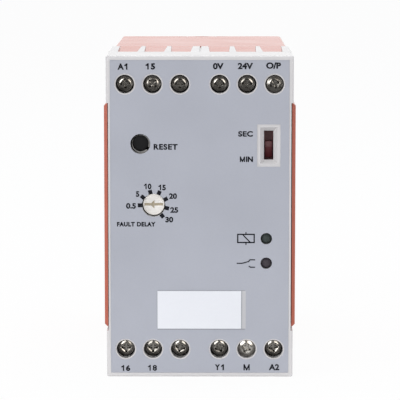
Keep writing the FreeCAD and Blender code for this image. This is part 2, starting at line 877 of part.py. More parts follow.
def reset_button():
    housing_front = "control_board_depth - tact_height"
    housing = box(
        "reset_housing",
        f"{RESET_X} - tact_size / 2",
        f"{RESET_X} + tact_size / 2",
        housing_front,
        "control_board_depth",
        f"{RESET_Z} - tact_size / 2",
        f"{RESET_Z} + tact_size / 2",
    )
    bore = rod(
        "reset_bore",
        RESET_X,
        RESET_Z,
        "button_stem_dia + 2 * shaft_gap",
        f"{housing_front} - fit_gap",
        "control_board_depth - tact_height / 4",
    )
    keep(cut("reset_switch", housing, bore), "reset_switch")

    body = new_body("reset_button")
    drawing = sketch(body, "YZ_Plane", "0")
    collar = f"{housing_front} - button_stroke - fit_gap - button_recess"
    stem = "control_board_depth - tact_height / 4 - button_stroke - fit_gap - button_recess"
    outline(drawing, [
        ("0", "0"),
        ("0", "button_dia / 2 - knob_chamfer"),
        ("knob_chamfer", "button_dia / 2"),
        (collar, "button_dia / 2"),
        (collar, "button_stem_dia / 2"),
        (stem, "button_stem_dia / 2"),
        (stem, "0"),
    ])
    revolve(body, drawing)
    body.setExpression("Placement.Base.x", cell(RESET_X))
    body.setExpression("Placement.Base.y", cell("button_recess - unit_depth"))
    body.setExpression("Placement.Base.z", cell(RESET_Z))


def delay_dial():
    pot_front = "control_board_depth - pot_height"
    case = box(
        "pot_case",
        f"{DIAL_X} - pot_size / 2",
        f"{DIAL_X} + pot_size / 2",
        pot_front,
        "control_board_depth",
        "dial_z - pot_size / 2",
        "dial_z + pot_size / 2",
    )
    bore = rod(
        "pot_bore",
        DIAL_X,
        "dial_z",
        "knob_shaft_dia + 2 * shaft_gap",
        f"{pot_front} - fit_gap",
        "control_board_depth - pot_height / 4",
    )
    keep(cut("delay_pot", case, bore), "delay_pot")

    body = new_body("delay_knob")
    drawing = sketch(body, "YZ_Plane", "0")
    shoulder = f"{pot_front} - fit_gap - knob_recess"
    end = "control_board_depth - pot_height / 4 - fit_gap - knob_recess"
    outline(drawing, [
        ("0", "0"),
        ("0", "knob_dia / 2 - knob_chamfer"),
        ("knob_chamfer", "knob_dia / 2"),
        (shoulder, "knob_dia / 2"),
        (shoulder, "knob_shaft_dia / 2"),
        (end, "knob_shaft_dia / 2"),
        (end, "0"),
    ])
    revolve(body, drawing)
    drawing = sketch(body, "XZ_Plane", "0")
    upper = [
        ("arrow_reach", "arrow_shaft"),
        ("0", "arrow_shaft"),
        ("0", "arrow_wing"),
        ("-arrow_head", "arrow_shaft"),
        ("-arrow_reach", "arrow_shaft"),
    ]
    lower = [(across, f"-{up}") for across, up in reversed(upper)]
    outline(drawing, upper + lower)
    pocket(body, drawing, "arrow_depth")
    body.setExpression("Placement.Base.x", cell(DIAL_X))
    body.setExpression("Placement.Base.y", cell("knob_recess - unit_depth"))
    body.setExpression("Placement.Base.z", cell("dial_z"))


def range_switch():
    """Two-position slide switch; the slider rests at the lower end of its track."""
    switch_front = "control_board_depth - switch_body_depth"
    track_low = f"{SWITCH_Z} - (slider_height + slider_travel) / 2"
    housing = box(
        "switch_case",
        f"{SWITCH_X} - switch_body_width / 2",
        f"{SWITCH_X} + switch_body_width / 2",
        switch_front,
        "control_board_depth",
        f"{SWITCH_Z} - switch_body_height / 2",
        f"{SWITCH_Z} + switch_body_height / 2",
    )
    track = box(
        "switch_track",
        f"{SWITCH_X} - slider_width / 2 - fit_gap",
        f"{SWITCH_X} + slider_width / 2 + fit_gap",
        f"{switch_front} - fit_gap",
        f"{switch_front} + switch_track_depth",
        f"{track_low} - fit_gap",
        f"{track_low} + slider_height + slider_travel + fit_gap",
    )
    keep(cut("range_switch", housing, track), "range_switch")

    # Slider with grip ridges across its face
    body = new_body("range_slider")
    drawing = front_sketch(body, f"{switch_front} + switch_track_depth - fit_gap")
    rectangle(
        drawing,
        f"{SWITCH_X} - slider_width / 2",
        f"{SWITCH_X} + slider_width / 2",
        track_low,
        f"{track_low} + slider_height",
    )
    pad(body, drawing, f"{switch_front} + switch_track_depth - fit_gap - slider_recess")
    drawing = front_sketch(body, "slider_recess")
    for share in ("0.25", "0.5", "0.75"):
        middle = f"{track_low} + {share} * slider_height"
        rectangle(
            drawing,
            f"{SWITCH_X} - slider_width",
            f"{SWITCH_X} + slider_width",
            f"{middle} - slider_groove / 2",
            f"{middle} + slider_groove / 2",
        )
    pocket(body, drawing, "slider_ridge")


def lamp(label, level):
    """Round-nosed lamp whose tip is level with the front face."""
    body = new_body(label)
    drawing = sketch(body, "YZ_Plane", "0")
    nose = drawing.addGeometry(
        Part.Arc(
            Part.Circle(Vector(measure("led_dia / 2"), 0, 0), Vector(0, 0, 1), measure("led_dia / 2")),
            math.pi / 2,
            math.pi,
        ),
        False,
    )
    corners = [
        ("led_dia / 2", "led_dia / 2"),
        ("led_body", "led_dia / 2"),
        ("led_body", "led_flange_dia / 2"),
        ("led_body + led_flange", "led_flange_dia / 2"),
        ("led_body + led_flange", "0"),
        ("0", "0"),
    ]
    places = [Vector(measure(across), measure(up), 0) for across, up in corners]
    for start, end in zip(places, places[1:]):
        drawing.addGeometry(Part.LineSegment(start, end), False)
    for item, (across, up) in enumerate(corners[:-1], start=nose + 1):
        pin_point(drawing, item, 1, across, up)
        if item > nose + 1:
            drawing.addConstraint(Sketcher.Constraint("Coincident", item - 1, 2, item, 1))
    last = nose + len(corners) - 1
    drawing.addConstraint(Sketcher.Constraint("Coincident", nose, 1, nose + 1, 1))
    drawing.addConstraint(Sketcher.Constraint("Coincident", nose, 2, last, 2))
    drawing.addConstraint(Sketcher.Constraint("Coincident", last, 2, -1, 1))
    drawing.addConstraint(Sketcher.Constraint("PointOnObject", nose, 3, -1))
    revolve(body, drawing)
    drawing = sketch(body, "XZ_Plane", "-led_body - led_flange")
    for side in ("", "-"):
        middle = f"{side}lead_pitch / 2"
        rectangle(
            drawing,
            f"{middle} - lead_size / 2",
            f"{middle} + lead_size / 2",
            "-lead_size / 2",
            "lead_size / 2",
        )
    pad(body, drawing, "control_board_depth - led_body - led_flange", backward=True)
    body.setExpression("Placement.Base.x", cell(LED_X))
    body.setExpression("Placement.Base.y", cell("-unit_depth"))
    body.setExpression("Placement.Base.z", cell(level))


def lamp_spacers():
    """Tubes that hold the lamps at their height over the control board."""
    tubes = []
    for name, level in (("power", "power_led_z"), ("relay", "relay_led_z")):
        tube = rod(
            f"{name}_tube", LED_X, level, "spacer_dia", "led_body + led_flange", "control_board_depth"
        )
        bore = rod(
            f"{name}_bore", LED_X, level, "spacer_bore", "led_body", "control_board_depth + fit_gap"
        )
        tubes.append(cut(f"{name}_spacer", tube, bore))
    keep(group("lamp_spacers", tubes), "lamp_spacers")


# Circuit


def control_board():
    board = box(
        "control_board",
        f"-{CONTROL_BOARD_HALF}",
        CONTROL_BOARD_HALF,
        "control_board_depth",
        CONTROL_BOARD_REAR,
        CONTROL_BOARD_BOTTOM,
        CONTROL_BOARD_TOP,
    )
    keep(board, "control_board")


def main_board():
    body = new_body("main_board")
    drawing = front_sketch(body, MAIN_BOARD_REAR)
    side = f"({CASE_SIDE} - case_wall - main_board_gap)"
    rectangle(drawing, f"-{side}", side, f"-{BLOCK_TOP}", BLOCK_TOP)
    screw_holes(drawing, "tail_hole")
    pad(body, drawing, "board_thick")


def board_link():
    """Pin strip that carries the signals from the control board to the main board."""
    half = "(link_ways * link_pitch / 2)"
    solids = []
    for name, front in (("front", CONTROL_BOARD_REAR), ("rear", f"{MAIN_BOARD_FRONT} - link_strip")):
        solids.append(
            box(
                f"link_{name}_strip",
                f"-{half}",
                half,
                front,
                f"{front} + link_strip",
                "link_z - link_strip / 2",
                "link_z + link_strip / 2",
            )
        )
    for way in range(int(measure("link_ways"))):
        middle = f"({way} + 0.5) * link_pitch - {half}"
        solids.append(
            box(
                f"link_pin_{way + 1}",
                f"{middle} - link_pin / 2",
                f"{middle} + link_pin / 2",
                CONTROL_BOARD_REAR,
                MAIN_BOARD_FRONT,
                "link_z - link_pin / 2",
                "link_z + link_pin / 2",
            )
        )
    keep(fuse("board_link", solids), "board_link")


def transformer():
    """Mains transformer: laminated core, bobbin on the middle leg, and two windings."""
    front = f"({MAIN_BOARD_REAR} + core_stand)"
    window_front = f"({front} + core_leg)"
    window_rear = f"({front} + core_length - core_leg)"

    def ring(name, half_across, half_up, near_end, far_end):
        return box(
            name,
            f"-{half_across}",
            half_across,
            near_end,
            far_end,
            f"transformer_z - {half_up}",
            f"transformer_z + {half_up}",
        )

    core = ring("core_block", "core_width / 2", "core_stack / 2", front, f"{front} + core_length")
    windows = []
    for side in ("left", "right"):
        start = "core_leg" if side == "right" else "core_leg - core_width / 2"
        windows.append(
            box(
                f"core_window_{side}",
                start,
                f"{start} + core_width / 2 - 2 * core_leg",
                window_front,
                window_rear,
                "transformer_z - core_stack",
                "transformer_z + core_stack",
            )
        )
    both = fuse("core_windows", windows)
    keep(cut("transformer_core", core, both), "transformer_core")

    # Bobbin: a tube on the middle leg, three flanges and feet that stand on the board
    tube_across = "(core_leg + fit_gap + bobbin_wall)"
    tube_up = "(core_stack / 2 + fit_gap + bobbin_wall)"
    flange_across = "(core_width / 2 - core_leg - fit_gap)"
    flange_up = "(bobbin_height / 2)"
    first = f"({window_front} + fit_gap)"
    last = f"({window_rear} - fit_gap - bobbin_flange)"
    middle = f"({first} + ({last} - {first}) * winding_share)"
    solids = [ring("bobbin_tube", tube_across, tube_up, first, f"{last} + bobbin_flange")]
    for name, place in (("front", first), ("middle", middle), ("rear", last)):
        solids.append(
            ring(f"bobbin_{name}_flange", flange_across, flange_up, place, f"{place} + bobbin_flange")
        )
    foot_inner = "(core_stack / 2 + fit_gap)"
    for name, low, high in (
        ("upper", f"transformer_z + {foot_inner}", f"transformer_z + {flange_up}"),
        ("lower", f"transformer_z - {flange_up}", f"transformer_z - {foot_inner}"),
    ):
        solids.append(
            box(
                f"bobbin_{name}_foot",
                f"-{flange_across}",
                flange_across,
                MAIN_BOARD_REAR,
                f"{first} + bobbin_flange",
                low,
                high,
            )
        )
    leg_room = ring(
        "bobbin_bore",
        "(core_leg + fit_gap)",
        "(core_stack / 2 + fit_gap)",
        f"{first} - fit_gap",
        f"{last} + bobbin_flange + fit_gap",
    )
    keep(cut("transformer_bobbin", fuse("bobbin_solid", solids), leg_room), "transformer_bobbin")

    coils = (
        ("primary_winding", f"{first} + bobbin_flange", middle),
        ("secondary_winding", f"{middle} + bobbin_flange", last),
    )
    for name, near_end, far_end in coils:
        coil = ring(
            name + "_coil",
            f"({flange_across} - winding_cover)",
            f"({flange_up} - winding_cover)",
            near_end,
            far_end,
        )
        tube = ring(name + "_tube", tube_across, tube_up, f"{near_end} - fit_gap", f"{far_end} + fit_gap")
        keep(cut(name, coil, tube), name)


def output_relay():
    body = new_body("output_relay")
    drawing = front_sketch(body, f"{MAIN_BOARD_REAR} + relay_depth")
    rectangle(
        drawing,
        "-relay_width / 2",
        "relay_width / 2",
        "relay_z - relay_height / 2",
        "relay_z + relay_height / 2",
    )
    pad(body, drawing, "relay_depth")
    board_face = f"{MAIN_BOARD_REAR} - unit_depth"
    dress(
        body,
        "Fillet",
        "Radius",
        lambda middle, along: not near(middle.y, board_face),
        "relay_radius",
    )


def small_components():
    """Smoothing capacitor, surge absorber, chips, rectifiers and resistors on the two boards."""
    body = new_body("smoothing_capacitor")
    drawing = sketch(body, "YZ_Plane", "0")
    outline(drawing, [
        ("0", "0"),
        ("0", "capacitor_dia / 2 - capacitor_bead"),
        ("capacitor_bead", "capacitor_dia / 2"),
        ("capacitor_length - capacitor_bead", "capacitor_dia / 2"),
        ("capacitor_length", "capacitor_dia / 2 - capacitor_bead"),
        ("capacitor_length", "0"),
    ])
    revolve(body, drawing)
    body.setExpression("Placement.Base.x", cell(CAPACITOR_X))
    body.setExpression("Placement.Base.y", cell(f"{MAIN_BOARD_REAR} - unit_depth"))
    body.setExpression("Placement.Base.z", cell("capacitor_z"))

    disc = doc.addObject("Part::Cylinder", "surge_absorber")
    disc.Placement = FreeCAD.Placement(Vector(), FreeCAD.Rotation(Vector(0, 1, 0), 90))
    disc.setExpression("Radius", cell("varistor_dia / 2"))
    disc.setExpression("Height", cell("varistor_thick"))
    disc.setExpression("Placement.Base.x", cell("varistor_x"))
    disc.setExpression("Placement.Base.y", cell(f"{MAIN_BOARD_REAR} + varistor_dia / 2 - unit_depth"))
    disc.setExpression("Placement.Base.z", cell("varistor_z"))
    keep(disc, "surge_absorber")

    chips = []
    for number, level in enumerate(("chip_z", "chip_z + chip_spacing"), start=1):
        chips.append(
            box(
                f"chip_{number}",
                "-chip_width / 2",
                "chip_width / 2",
                CONTROL_BOARD_REAR,
                f"{CONTROL_BOARD_REAR} + chip_depth",
                f"{level} - chip_height / 2",
                f"{level} + chip_height / 2",
            )
        )
    keep(group("timer_chips", chips), "timer_chips")

    def lying_row(name, count, pitch, diameter, length, level, depth):
        """Cylinders that lie across a board side by side, their axes upright."""
        solids = []
        for number in range(int(measure(count))):
            solid = doc.addObject("Part::Cylinder", f"{name}_{number + 1}")
            solid.setExpression("Radius", cell(f"{diameter} / 2"))
            solid.setExpression("Height", cell(length))
            place = f"({number} - ({count} - 1) / 2) * {pitch}"
            solid.setExpression("Placement.Base.x", cell(place))
            solid.setExpression("Placement.Base.y", cell(f"{depth} - unit_depth"))
            solid.setExpression("Placement.Base.z", cell(level))
            solids.append(solid)
        keep(group(name, solids), name)

    lying_row(
        "rectifier_diodes",
        "diode_count",
        "diode_pitch",
        "diode_dia",
        "diode_length",
        f"{HALF_HEIGHT} - diode_drop",
        f"{MAIN_BOARD_REAR} + diode_dia / 2",
    )
    lying_row(
        "resistors",
        "resistor_count",
        "resistor_pitch",
        "resistor_dia",
        "resistor_length",
        "resistor_z",
        f"{MAIN_BOARD_FRONT} - resistor_dia / 2",
    )


# Rail clips


def rail_clip(label, over):
    """Sliding clip, drawn above the rail and turned over for the one below it."""
    body = new_body(label)
    tip = f"{CHANNEL_EDGE} - hook_reach"
    seat = "-(clip_sunk + clip_rib)"
    top = "-(clip_sunk + clip_rib + clip_flange)"
    drawing = sketch(body, "YZ_Plane", "0")
    outline(drawing, [
        (top, tip),
        (top, HALF_HEIGHT),
        ("-clip_sunk", HALF_HEIGHT),
        ("-clip_sunk", f"{tip} + hook_lead"),
        (f"{seat} + hook_nose", tip),
    ])
    pad(body, drawing, "clip_rib_width", sides="Symmetric")
    drawing = sketch(body, "YZ_Plane", "0")
    outline(drawing, [(top, tip), (top, HALF_HEIGHT), (seat, HALF_HEIGHT), (seat, tip)])
    pad(body, drawing, "clip_width", sides="Symmetric")

    # Screw hole for panel mounting, free once the clip is drawn out, and a slot for a screwdriver
    drawing = sketch(body, "XZ_Plane", "clip_sunk + clip_rib + clip_flange")
    circle(drawing, "0", f"{HALF_HEIGHT} - clip_hole_inset", "clip_hole")
    pocket(body, drawing, "clip_rib + clip_flange")
    drawing = sketch(body, "XY_Plane", HALF_HEIGHT)
    slot_front = "-(clip_sunk + clip_lip + clip_slot)"
    slot_rear = "-(clip_sunk + clip_lip)"
    rectangle(drawing, "-clip_hole / 2", "clip_hole / 2", slot_front, slot_rear)
    pocket(body, drawing, "clip_slot_depth")
    body.Placement = FreeCAD.Placement(Vector(), FreeCAD.Rotation(Vector(0, 1, 0), 180 if over else 0))


def check_document():
    """Stop before anything is written if a feature failed or a sub-part is empty or broken."""
    doc.recompute()
    for item in doc.Objects:
        if "Invalid" in item.State or "Error" in item.State:
            raise RuntimeError(f"{item.Label} failed: {item.State}")
    for piece in parts:
        if piece.Shape.isNull() or not piece.Shape.isValid() or not piece.Shape.Solids:
            raise RuntimeError(f"{piece.Label} has no sound solid")


def write_parts():
    os.makedirs("parts", exist_ok=True)
    for piece in parts:
        piece.Shape.exportStep(os.path.join("parts", piece.Label + ".step"))
        size = piece.Shape.BoundBox
        print(
            f"{piece.Label}: {size.XLength:.2f} x {size.YLength:.2f} x {size.ZLength:.2f} mm,",
            f"{len(piece.Shape.Solids)} solids, {piece.Shape.Volume:.1f} mm3",
        )


case_body()
front_cover()
front_label()
marker_panel()
terminals()
reset_button()
delay_dial()
range_switch()
lamp("power_led", "power_led_z")
lamp("relay_led", "relay_led_z")
lamp_spacers()
control_board()
main_board()
board_link()
transformer()
output_relay()
small_components()
rail_clip("rail_clip_upper", False)
rail_clip("rail_clip_lower", True)
check_document()
write_parts()
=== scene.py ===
# %% [markdown]
# A rail-mounted monitoring relay. The solids come from the CAD model, in metres, with the rear
# face on y = 0, the front towards -y and z up. This lesson keeps those solids where they are,
# gives each one its real finish, and models by hand the pieces whose fine shape carries the look:
# the terminal screws, the dial, the switch slider, the reset button and the print.

import math

import bpy
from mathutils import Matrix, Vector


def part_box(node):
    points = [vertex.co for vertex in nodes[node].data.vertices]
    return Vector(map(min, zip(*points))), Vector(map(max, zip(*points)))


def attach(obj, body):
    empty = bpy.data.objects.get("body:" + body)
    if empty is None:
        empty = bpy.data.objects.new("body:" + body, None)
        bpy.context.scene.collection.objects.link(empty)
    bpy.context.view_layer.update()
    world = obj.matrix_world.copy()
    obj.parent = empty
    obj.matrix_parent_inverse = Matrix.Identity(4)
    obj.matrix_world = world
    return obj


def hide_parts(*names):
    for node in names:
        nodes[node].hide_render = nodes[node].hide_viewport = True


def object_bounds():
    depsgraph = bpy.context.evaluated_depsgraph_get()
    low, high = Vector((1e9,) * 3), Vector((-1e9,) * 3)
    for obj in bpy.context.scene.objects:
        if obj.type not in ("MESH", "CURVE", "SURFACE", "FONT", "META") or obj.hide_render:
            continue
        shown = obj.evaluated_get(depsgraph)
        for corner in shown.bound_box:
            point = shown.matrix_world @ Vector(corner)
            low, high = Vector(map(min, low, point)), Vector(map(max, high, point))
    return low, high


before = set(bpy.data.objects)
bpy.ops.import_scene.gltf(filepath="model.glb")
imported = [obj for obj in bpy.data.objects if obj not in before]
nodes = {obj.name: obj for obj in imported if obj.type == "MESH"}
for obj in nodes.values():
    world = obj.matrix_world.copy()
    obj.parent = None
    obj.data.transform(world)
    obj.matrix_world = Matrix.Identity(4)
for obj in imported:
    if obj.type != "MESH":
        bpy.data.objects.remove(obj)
cad_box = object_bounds()
MM = 0.001
print("CAD nodes:", len(nodes), "box:", [[round(v, 4) for v in corner] for corner in cad_box])

# %% [markdown]
# The camera stands where the photograph was taken: far in front with a long lens, a little above
# the relay and almost square to it. The numbers come from lining up the corners of the front
# and the screw holes. A long lens is chosen over a close wide one because the far edge of the
# case is only a little smaller than the front.

# %% Camera
FOCAL_PIXELS = 2308
FRAME_PIXELS = 400
SENSOR_WIDTH = 36
CAMERA_PLACE = (3.65 * MM, -746.8 * MM, 81.45 * MM)
PITCH_DOWN = 0.1196
TURN_LEFT = 0.0056
bpy.ops.object.select_all(action="DESELECT")
bpy.ops.object.camera_add(
    location=CAMERA_PLACE, rotation=(math.pi / 2 - PITCH_DOWN, 0, TURN_LEFT)
)
camera = bpy.context.object
camera.name = "camera"
camera.data.sensor_width = SENSOR_WIDTH
camera.data.lens = FOCAL_PIXELS / FRAME_PIXELS * SENSOR_WIDTH
bpy.context.scene.camera = camera
print("Lens:", round(camera.data.lens, 1), "mm")

# %% [markdown]
# Every finish below is built from a few nodes. Colours are read off as sRGB hex values, and one
# function turns them to the linear values that a shader wants. One more function adds a node
# with its values and links.

# %% Colour and node helpers
def linear(hex_colour):
    """An sRGB hex colour as the linear RGBA that shaders use."""
    channels = [int(hex_colour[i:i + 2], 16) / 255 for i in (0, 2, 4)]
    return [c / 12.92 if c <= 0.04045 else ((c + 0.055) / 1.055) ** 2.4 for c in channels] + [1]


def add_node(tree, kind, values=None, links=None, **settings):
    """Add one node to a tree, with its settings, and values and links for its inputs."""
    made = tree.nodes.new(kind)
    for name, value in settings.items():
        setattr(made, name, value)
    for name, value in (values or {}).items():
        made.inputs[name].default_value = value
    for name, source in (links or {}).items():
        tree.links.new(source, made.inputs[name])
    return made


def new_tree(name):
    """A new material, and its emptied node tree."""
    material = bpy.data.materials.new(name)
    material.use_nodes = True
    material.node_tree.nodes.clear()
    return material, material.node_tree


def mix(tree, share, first, second):
    """Two shaders mixed: a share of 0 gives the first, and 1 the second."""
    links = {0: share, 1: first.outputs[0], 2: second.outputs[0]}
    return add_node(tree, "ShaderNodeMixShader", links=links)


print("Mid grey 808080 is", round(linear("808080")[0], 3), "in linear light")

# %% [markdown]
# The picture was taken in a white studio. The floor is pale paper: seen by the camera, and in
# reflections, most of its brightness is plain white, and the rest is ordinary shading, so that
# the relay keeps a faint shadow. A backdrop object could do the same, but one large sheet fills
# the whole view from this height. The sheet ends a few centimetres in front of the relay, so that
# the screws mirror the dim room there and not the paper. It lies a hair below the relay, because
# two faces in the same place flicker.

# %% Floor
SHEET = 8
SHEET_FRONT = -0.16
FLOOR_GAP = 0.1 * MM
floor_z = cad_box[0][2] - FLOOR_GAP
bpy.ops.object.select_all(action="DESELECT")
bpy.ops.mesh.primitive_plane_add(size=SHEET, location=(0, SHEET_FRONT + SHEET / 2, floor_z))
floor = bpy.context.object
floor.name = "floor"
bpy.ops.object.transform_apply(location=True, rotation=True, scale=True)
print("Floor at z =", round(floor_z, 4))

# %% Floor paper
PLAIN_WHITE = 0.95
paper, tree = new_tree("white_studio_paper")
rays = add_node(tree, "ShaderNodeLightPath").outputs
seen = rays["Is Camera Ray"]
for mirrored in (rays["Is Glossy Ray"], rays["Is Transmission Ray"]):
    links = {0: seen, 1: mirrored}
    seen = add_node(tree, "ShaderNodeMath", links=links, operation="MAXIMUM").outputs[0]
share = add_node(tree, "ShaderNodeMath", {1: PLAIN_WHITE}, {0: seen}, operation="MULTIPLY")
matt = add_node(tree, "ShaderNodeBsdfDiffuse", {"Color": linear("F4F4F4")})
white = add_node(tree, "ShaderNodeEmission", {"Color": linear("FFFFFF"), "Strength": 1})
both = mix(tree, share.outputs[0], matt, white)
add_node(tree, "ShaderNodeOutputMaterial", links={"Surface": both.outputs[0]})
floor.data.materials.append(paper)
print("Floor paper:", paper.name, "with", len(tree.nodes), "nodes")

# %% [markdown]
# The light is soft and even. The world lights all sides, and six square area lamps shape it: a
# wide one overhead that brightens the top of the case, a key lamp at the upper left that shades
# the switch funnel, and a pair on each side of the camera, warmer and weaker on the right. The
# pairs are low and close to the camera because light from further round wouldn't reach the screw
# heads in their holes. They put a bright mark on each shoulder of a head. The camera sees the
# world as white, and polished metal sees a white room behind the relay and a dim one behind the
# camera, which keeps the screws dark.

# %% World
ROOM = {"From Min": -0.6, "From Max": 0.35, "To Min": 0.33, "To Max": 1}
AMBIENT = {"Color": linear("F6F8FF"), "Strength": 0.58}
bpy.context.scene.view_settings.view_transform = "Standard"
world = bpy.data.worlds.new("studio")
bpy.context.scene.world = world
world.use_nodes = True
tree = world.node_tree
tree.nodes.clear()
rays = add_node(tree, "ShaderNodeLightPath").outputs
way = add_node(tree, "ShaderNodeTexCoord").outputs["Generated"]
axes = add_node(tree, "ShaderNodeSeparateXYZ", links={0: way}).outputs
depth = add_node(tree, "ShaderNodeMapRange", ROOM, {"Value": axes["Y"]}).outputs["Result"]
room = add_node(tree, "ShaderNodeBackground", {"Color": linear("FFFFFF")}, {"Strength": depth})
ambient = add_node(tree, "ShaderNodeBackground", AMBIENT)
white = add_node(tree, "ShaderNodeBackground", {"Color": linear("FFFFFF"), "Strength": 1})
lit = mix(tree, rays["Is Glossy Ray"], ambient, room)
lit = mix(tree, rays["Is Camera Ray"], lit, white)
add_node(tree, "ShaderNodeOutputWorld", links={"Surface": lit.outputs[0]})
print("World:", world.name, "with", len(tree.nodes), "nodes")

# %% Lamps
def add_lamp(name, place, aim, size, watts, colour="FFFFFF"):
    """A square area lamp at a place, turned towards a point."""
    bpy.ops.object.select_all(action="DESELECT")
    bpy.ops.object.light_add(type="AREA", location=place)
    lamp = bpy.context.object
    lamp.name = name
    lamp.data.size = size
    lamp.data.energy = watts
    lamp.data.color = linear(colour)[:3]
    away = [place[i] - aim[i] for i in range(3)]
    tilt = math.atan2(math.hypot(away[0], away[1]), away[2])
    turn = math.atan2(away[1], away[0]) + math.pi / 2
    lamp.rotation_euler = (tilt, 0, turn)
    print("Lamp:", name, watts, "W")


AIM = (0, -0.1, 0)
PAIR = {"aim": AIM, "size": 0.15}
LEFT = {"watts": 0.6}
RIGHT = {"watts": 0.42, "colour": "FFFAF4"}
add_lamp("overhead", place=(0, 0.1, 0.9), aim=(0, -0.05, 0), size=0.7, watts=3.8)
add_lamp("key", place=(-0.8, -0.75, 0.6), aim=AIM, size=0.4, watts=2.1)
add_lamp("front_left", place=(-0.16, -0.95, 0.12), **PAIR, **LEFT)
add_lamp("side_left", place=(-0.27, -0.95, 0.06), **PAIR, **LEFT)
add_lamp("front_right", place=(0.16, -0.95, 0.12), **PAIR, **RIGHT)
add_lamp("side_right", place=(0.27, -0.95, 0.06), **PAIR, **RIGHT)

# %% [markdown]
# Most finishes share the same few moves: noise of some size, a ramp that turns a value to a
# colour between two tones, a bump that turns it to relief, and the shader that ends the tree.
# Each move is a small function, so that a finish reads as a recipe. Pattern sizes are given in
# millimetres of the real surface.

# %% Pattern helpers
def per_mm(size):
    """Texture scale at which one feature of a pattern is about this many millimetres wide."""
    return 1 / (size * MM)


def object_space(tree):
    """Places in the space of the piece, so that a pattern stays on it."""
    return add_node(tree, "ShaderNodeTexCoord").outputs["Object"]


def noise(tree, place, size, detail):
    """A cloudy value whose features are about a size in mm."""
    values = {"Scale": per_mm(size), "Detail": detail}
    return add_node(tree, "ShaderNodeTexNoise", values, {"Vector": place}).outputs["Fac"]


def spread(tree, value, low, high):
    """A value from 0 to 1, spread between a low and a high one."""
    ends = {"To Min": low, "To Max": high}
    return add_node(tree, "ShaderNodeMapRange", ends, {"Value": value}).outputs["Result"]


def ramp(tree, value, *stops):
    """A value as a colour between two stops, each a position and a hex colour."""
    made = add_node(tree, "ShaderNodeValToRGB", links={"Fac": value})
    for index, (position, colour) in enumerate(stops):
        made.color_ramp.elements[index].position = position
        made.color_ramp.elements[index].color = linear(colour)
    return made.outputs["Color"]


def bump(tree, value, strength, height):
    """A value as relief, up to a height in mm."""
    values = {"Strength": strength, "Distance": height * MM}
    return add_node(tree, "ShaderNodeBump", values, {"Height": value}).outputs["Normal"]


def end_tree(tree, values, links):
    """End a tree with a Principled shader and the output of the material."""
    shader = add_node(tree, "ShaderNodeBsdfPrincipled", values, links)
    add_node(tree, "ShaderNodeOutputMaterial", links={"Surface": shader.outputs[0]})


print("A pattern of 1 mm has scale", per_mm(1))

# %% [markdown]
# Most of the relay is moulded plastic. A mould leaves a fine spark-eroded grain, a slow drift in
# shade where the melt cooled, and a sheen that drifts with it. All three come from noise at those
# sizes, so one function serves every moulded piece. The grain is really about 0.1 mm and is drawn
# at 0.3 mm so that it shows at all.

# %% Moulded plastics
def moulded_plastic(name, base, drift, roughness, grain=0.3):
    """Plastic from an eroded mould: base and drift colours, roughness, and grain size in mm."""
    material, tree = new_tree(name)
    place = object_space(tree)
    slow = noise(tree, place, size=14, detail=4)
    fine = noise(tree, place, size=grain, detail=2)
    glossiest, dullest = roughness - 0.05, roughness + 0.07
    end_tree(tree, {"IOR": 1.53}, {
        "Base Color": ramp(tree, slow, (0.35, base), (0.75, drift)),
        "Roughness": spread(tree, slow, glossiest, dullest),
        "Normal": bump(tree, fine, strength=0.25, height=0.012),
    })
    print("Plastic:", name)
    return material


red_abs = moulded_plastic("moulded_red_abs", "D17662", "CD725D", 0.18)
grey_abs = moulded_plastic("moulded_light_grey_abs", "DFDDDC", "D9D7D6", 0.2)
white_acetal = moulded_plastic("moulded_white_acetal", "EFEDE8", "E9E6DF", 0.38, grain=0.5)
black_nylon = moulded_plastic("moulded_black_nylon", "17181B", "111214", 0.75)
grey_nylon = moulded_plastic("moulded_grey_nylon", "9A9996", "91908D", 0.5)
maroon_abs = moulded_plastic("moulded_maroon_abs", "6E3032", "5C282C", 0.45)
black_phenolic = moulded_plastic("moulded_black_phenolic", "2A2A2C", "232325", 0.5)
ivory_nylon = moulded_plastic("moulded_ivory_nylon", "DAD5C6", "CFC9B8", 0.5)
relay_pbt = moulded_plastic("moulded_blue_pbt", "2C4A78", "284370", 0.35)
chip_epoxy = moulded_plastic("moulded_chip_epoxy", "1E1E20", "18181A", 0.55)

# %% [markdown]
# The label is a polyester film printed blue-grey from behind. Its face has a fine velvet texture
# that spreads the light, so it is matt with a faint shimmer. The writing panel is softer white
# vinyl, and the ink of the marks is a thick screen print whose surface is slightly uneven. One
# function makes them all. A film differs from a moulding in its shallower texture, which also
# tints it a little, and in its even sheen.

# %% Films and ink
FINE_SHARE = 0.3


def printed_film(name, base, drift, roughness, texture, sheen=0.5):
    """A matt film or ink: base and drift colours, texture size in mm, strength of its sheen."""
    material, tree = new_tree(name)
    place = object_space(tree)
    slow = noise(tree, place, size=22, detail=2)
    fine = noise(tree, place, size=texture, detail=1)
    blend = add_node(
        tree, "ShaderNodeMath", {1: FINE_SHARE}, {0: fine, 2: slow}, operation="MULTIPLY_ADD"
    ).outputs[0]
    end_tree(tree, {"Roughness": roughness, "IOR": 1.48, "Specular IOR Level": sheen}, {
        "Base Color": ramp(tree, blend, (0.45, base), (0.85, drift)),
        "Normal": bump(tree, fine, strength=0.25, height=0.008),
    })
    print("Film:", name)
    return material


label_film = printed_film("printed_polyester_film", "B1B4BD", "B7BAC3", 0.5, texture=0.35)
panel_vinyl = printed_film("write_on_vinyl", "EEF0F4", "F2F4F8", 0.45, texture=0.6)
screen_ink = printed_film(
    "screen_printed_ink", "12141B", "191B23", 0.6, texture=0.25, sheen=0.15
)
# A grey of painted shade, for the gap in shadow round the writing panel.
gap_shade_grey = printed_film("grey_painted_gap_shade", "9B9DA4", "A2A4AB", 0.5, texture=0.25)
bare_film = printed_film("unprinted_film", "C6C6C8", "CBCBCD", 0.5, texture=0.35)
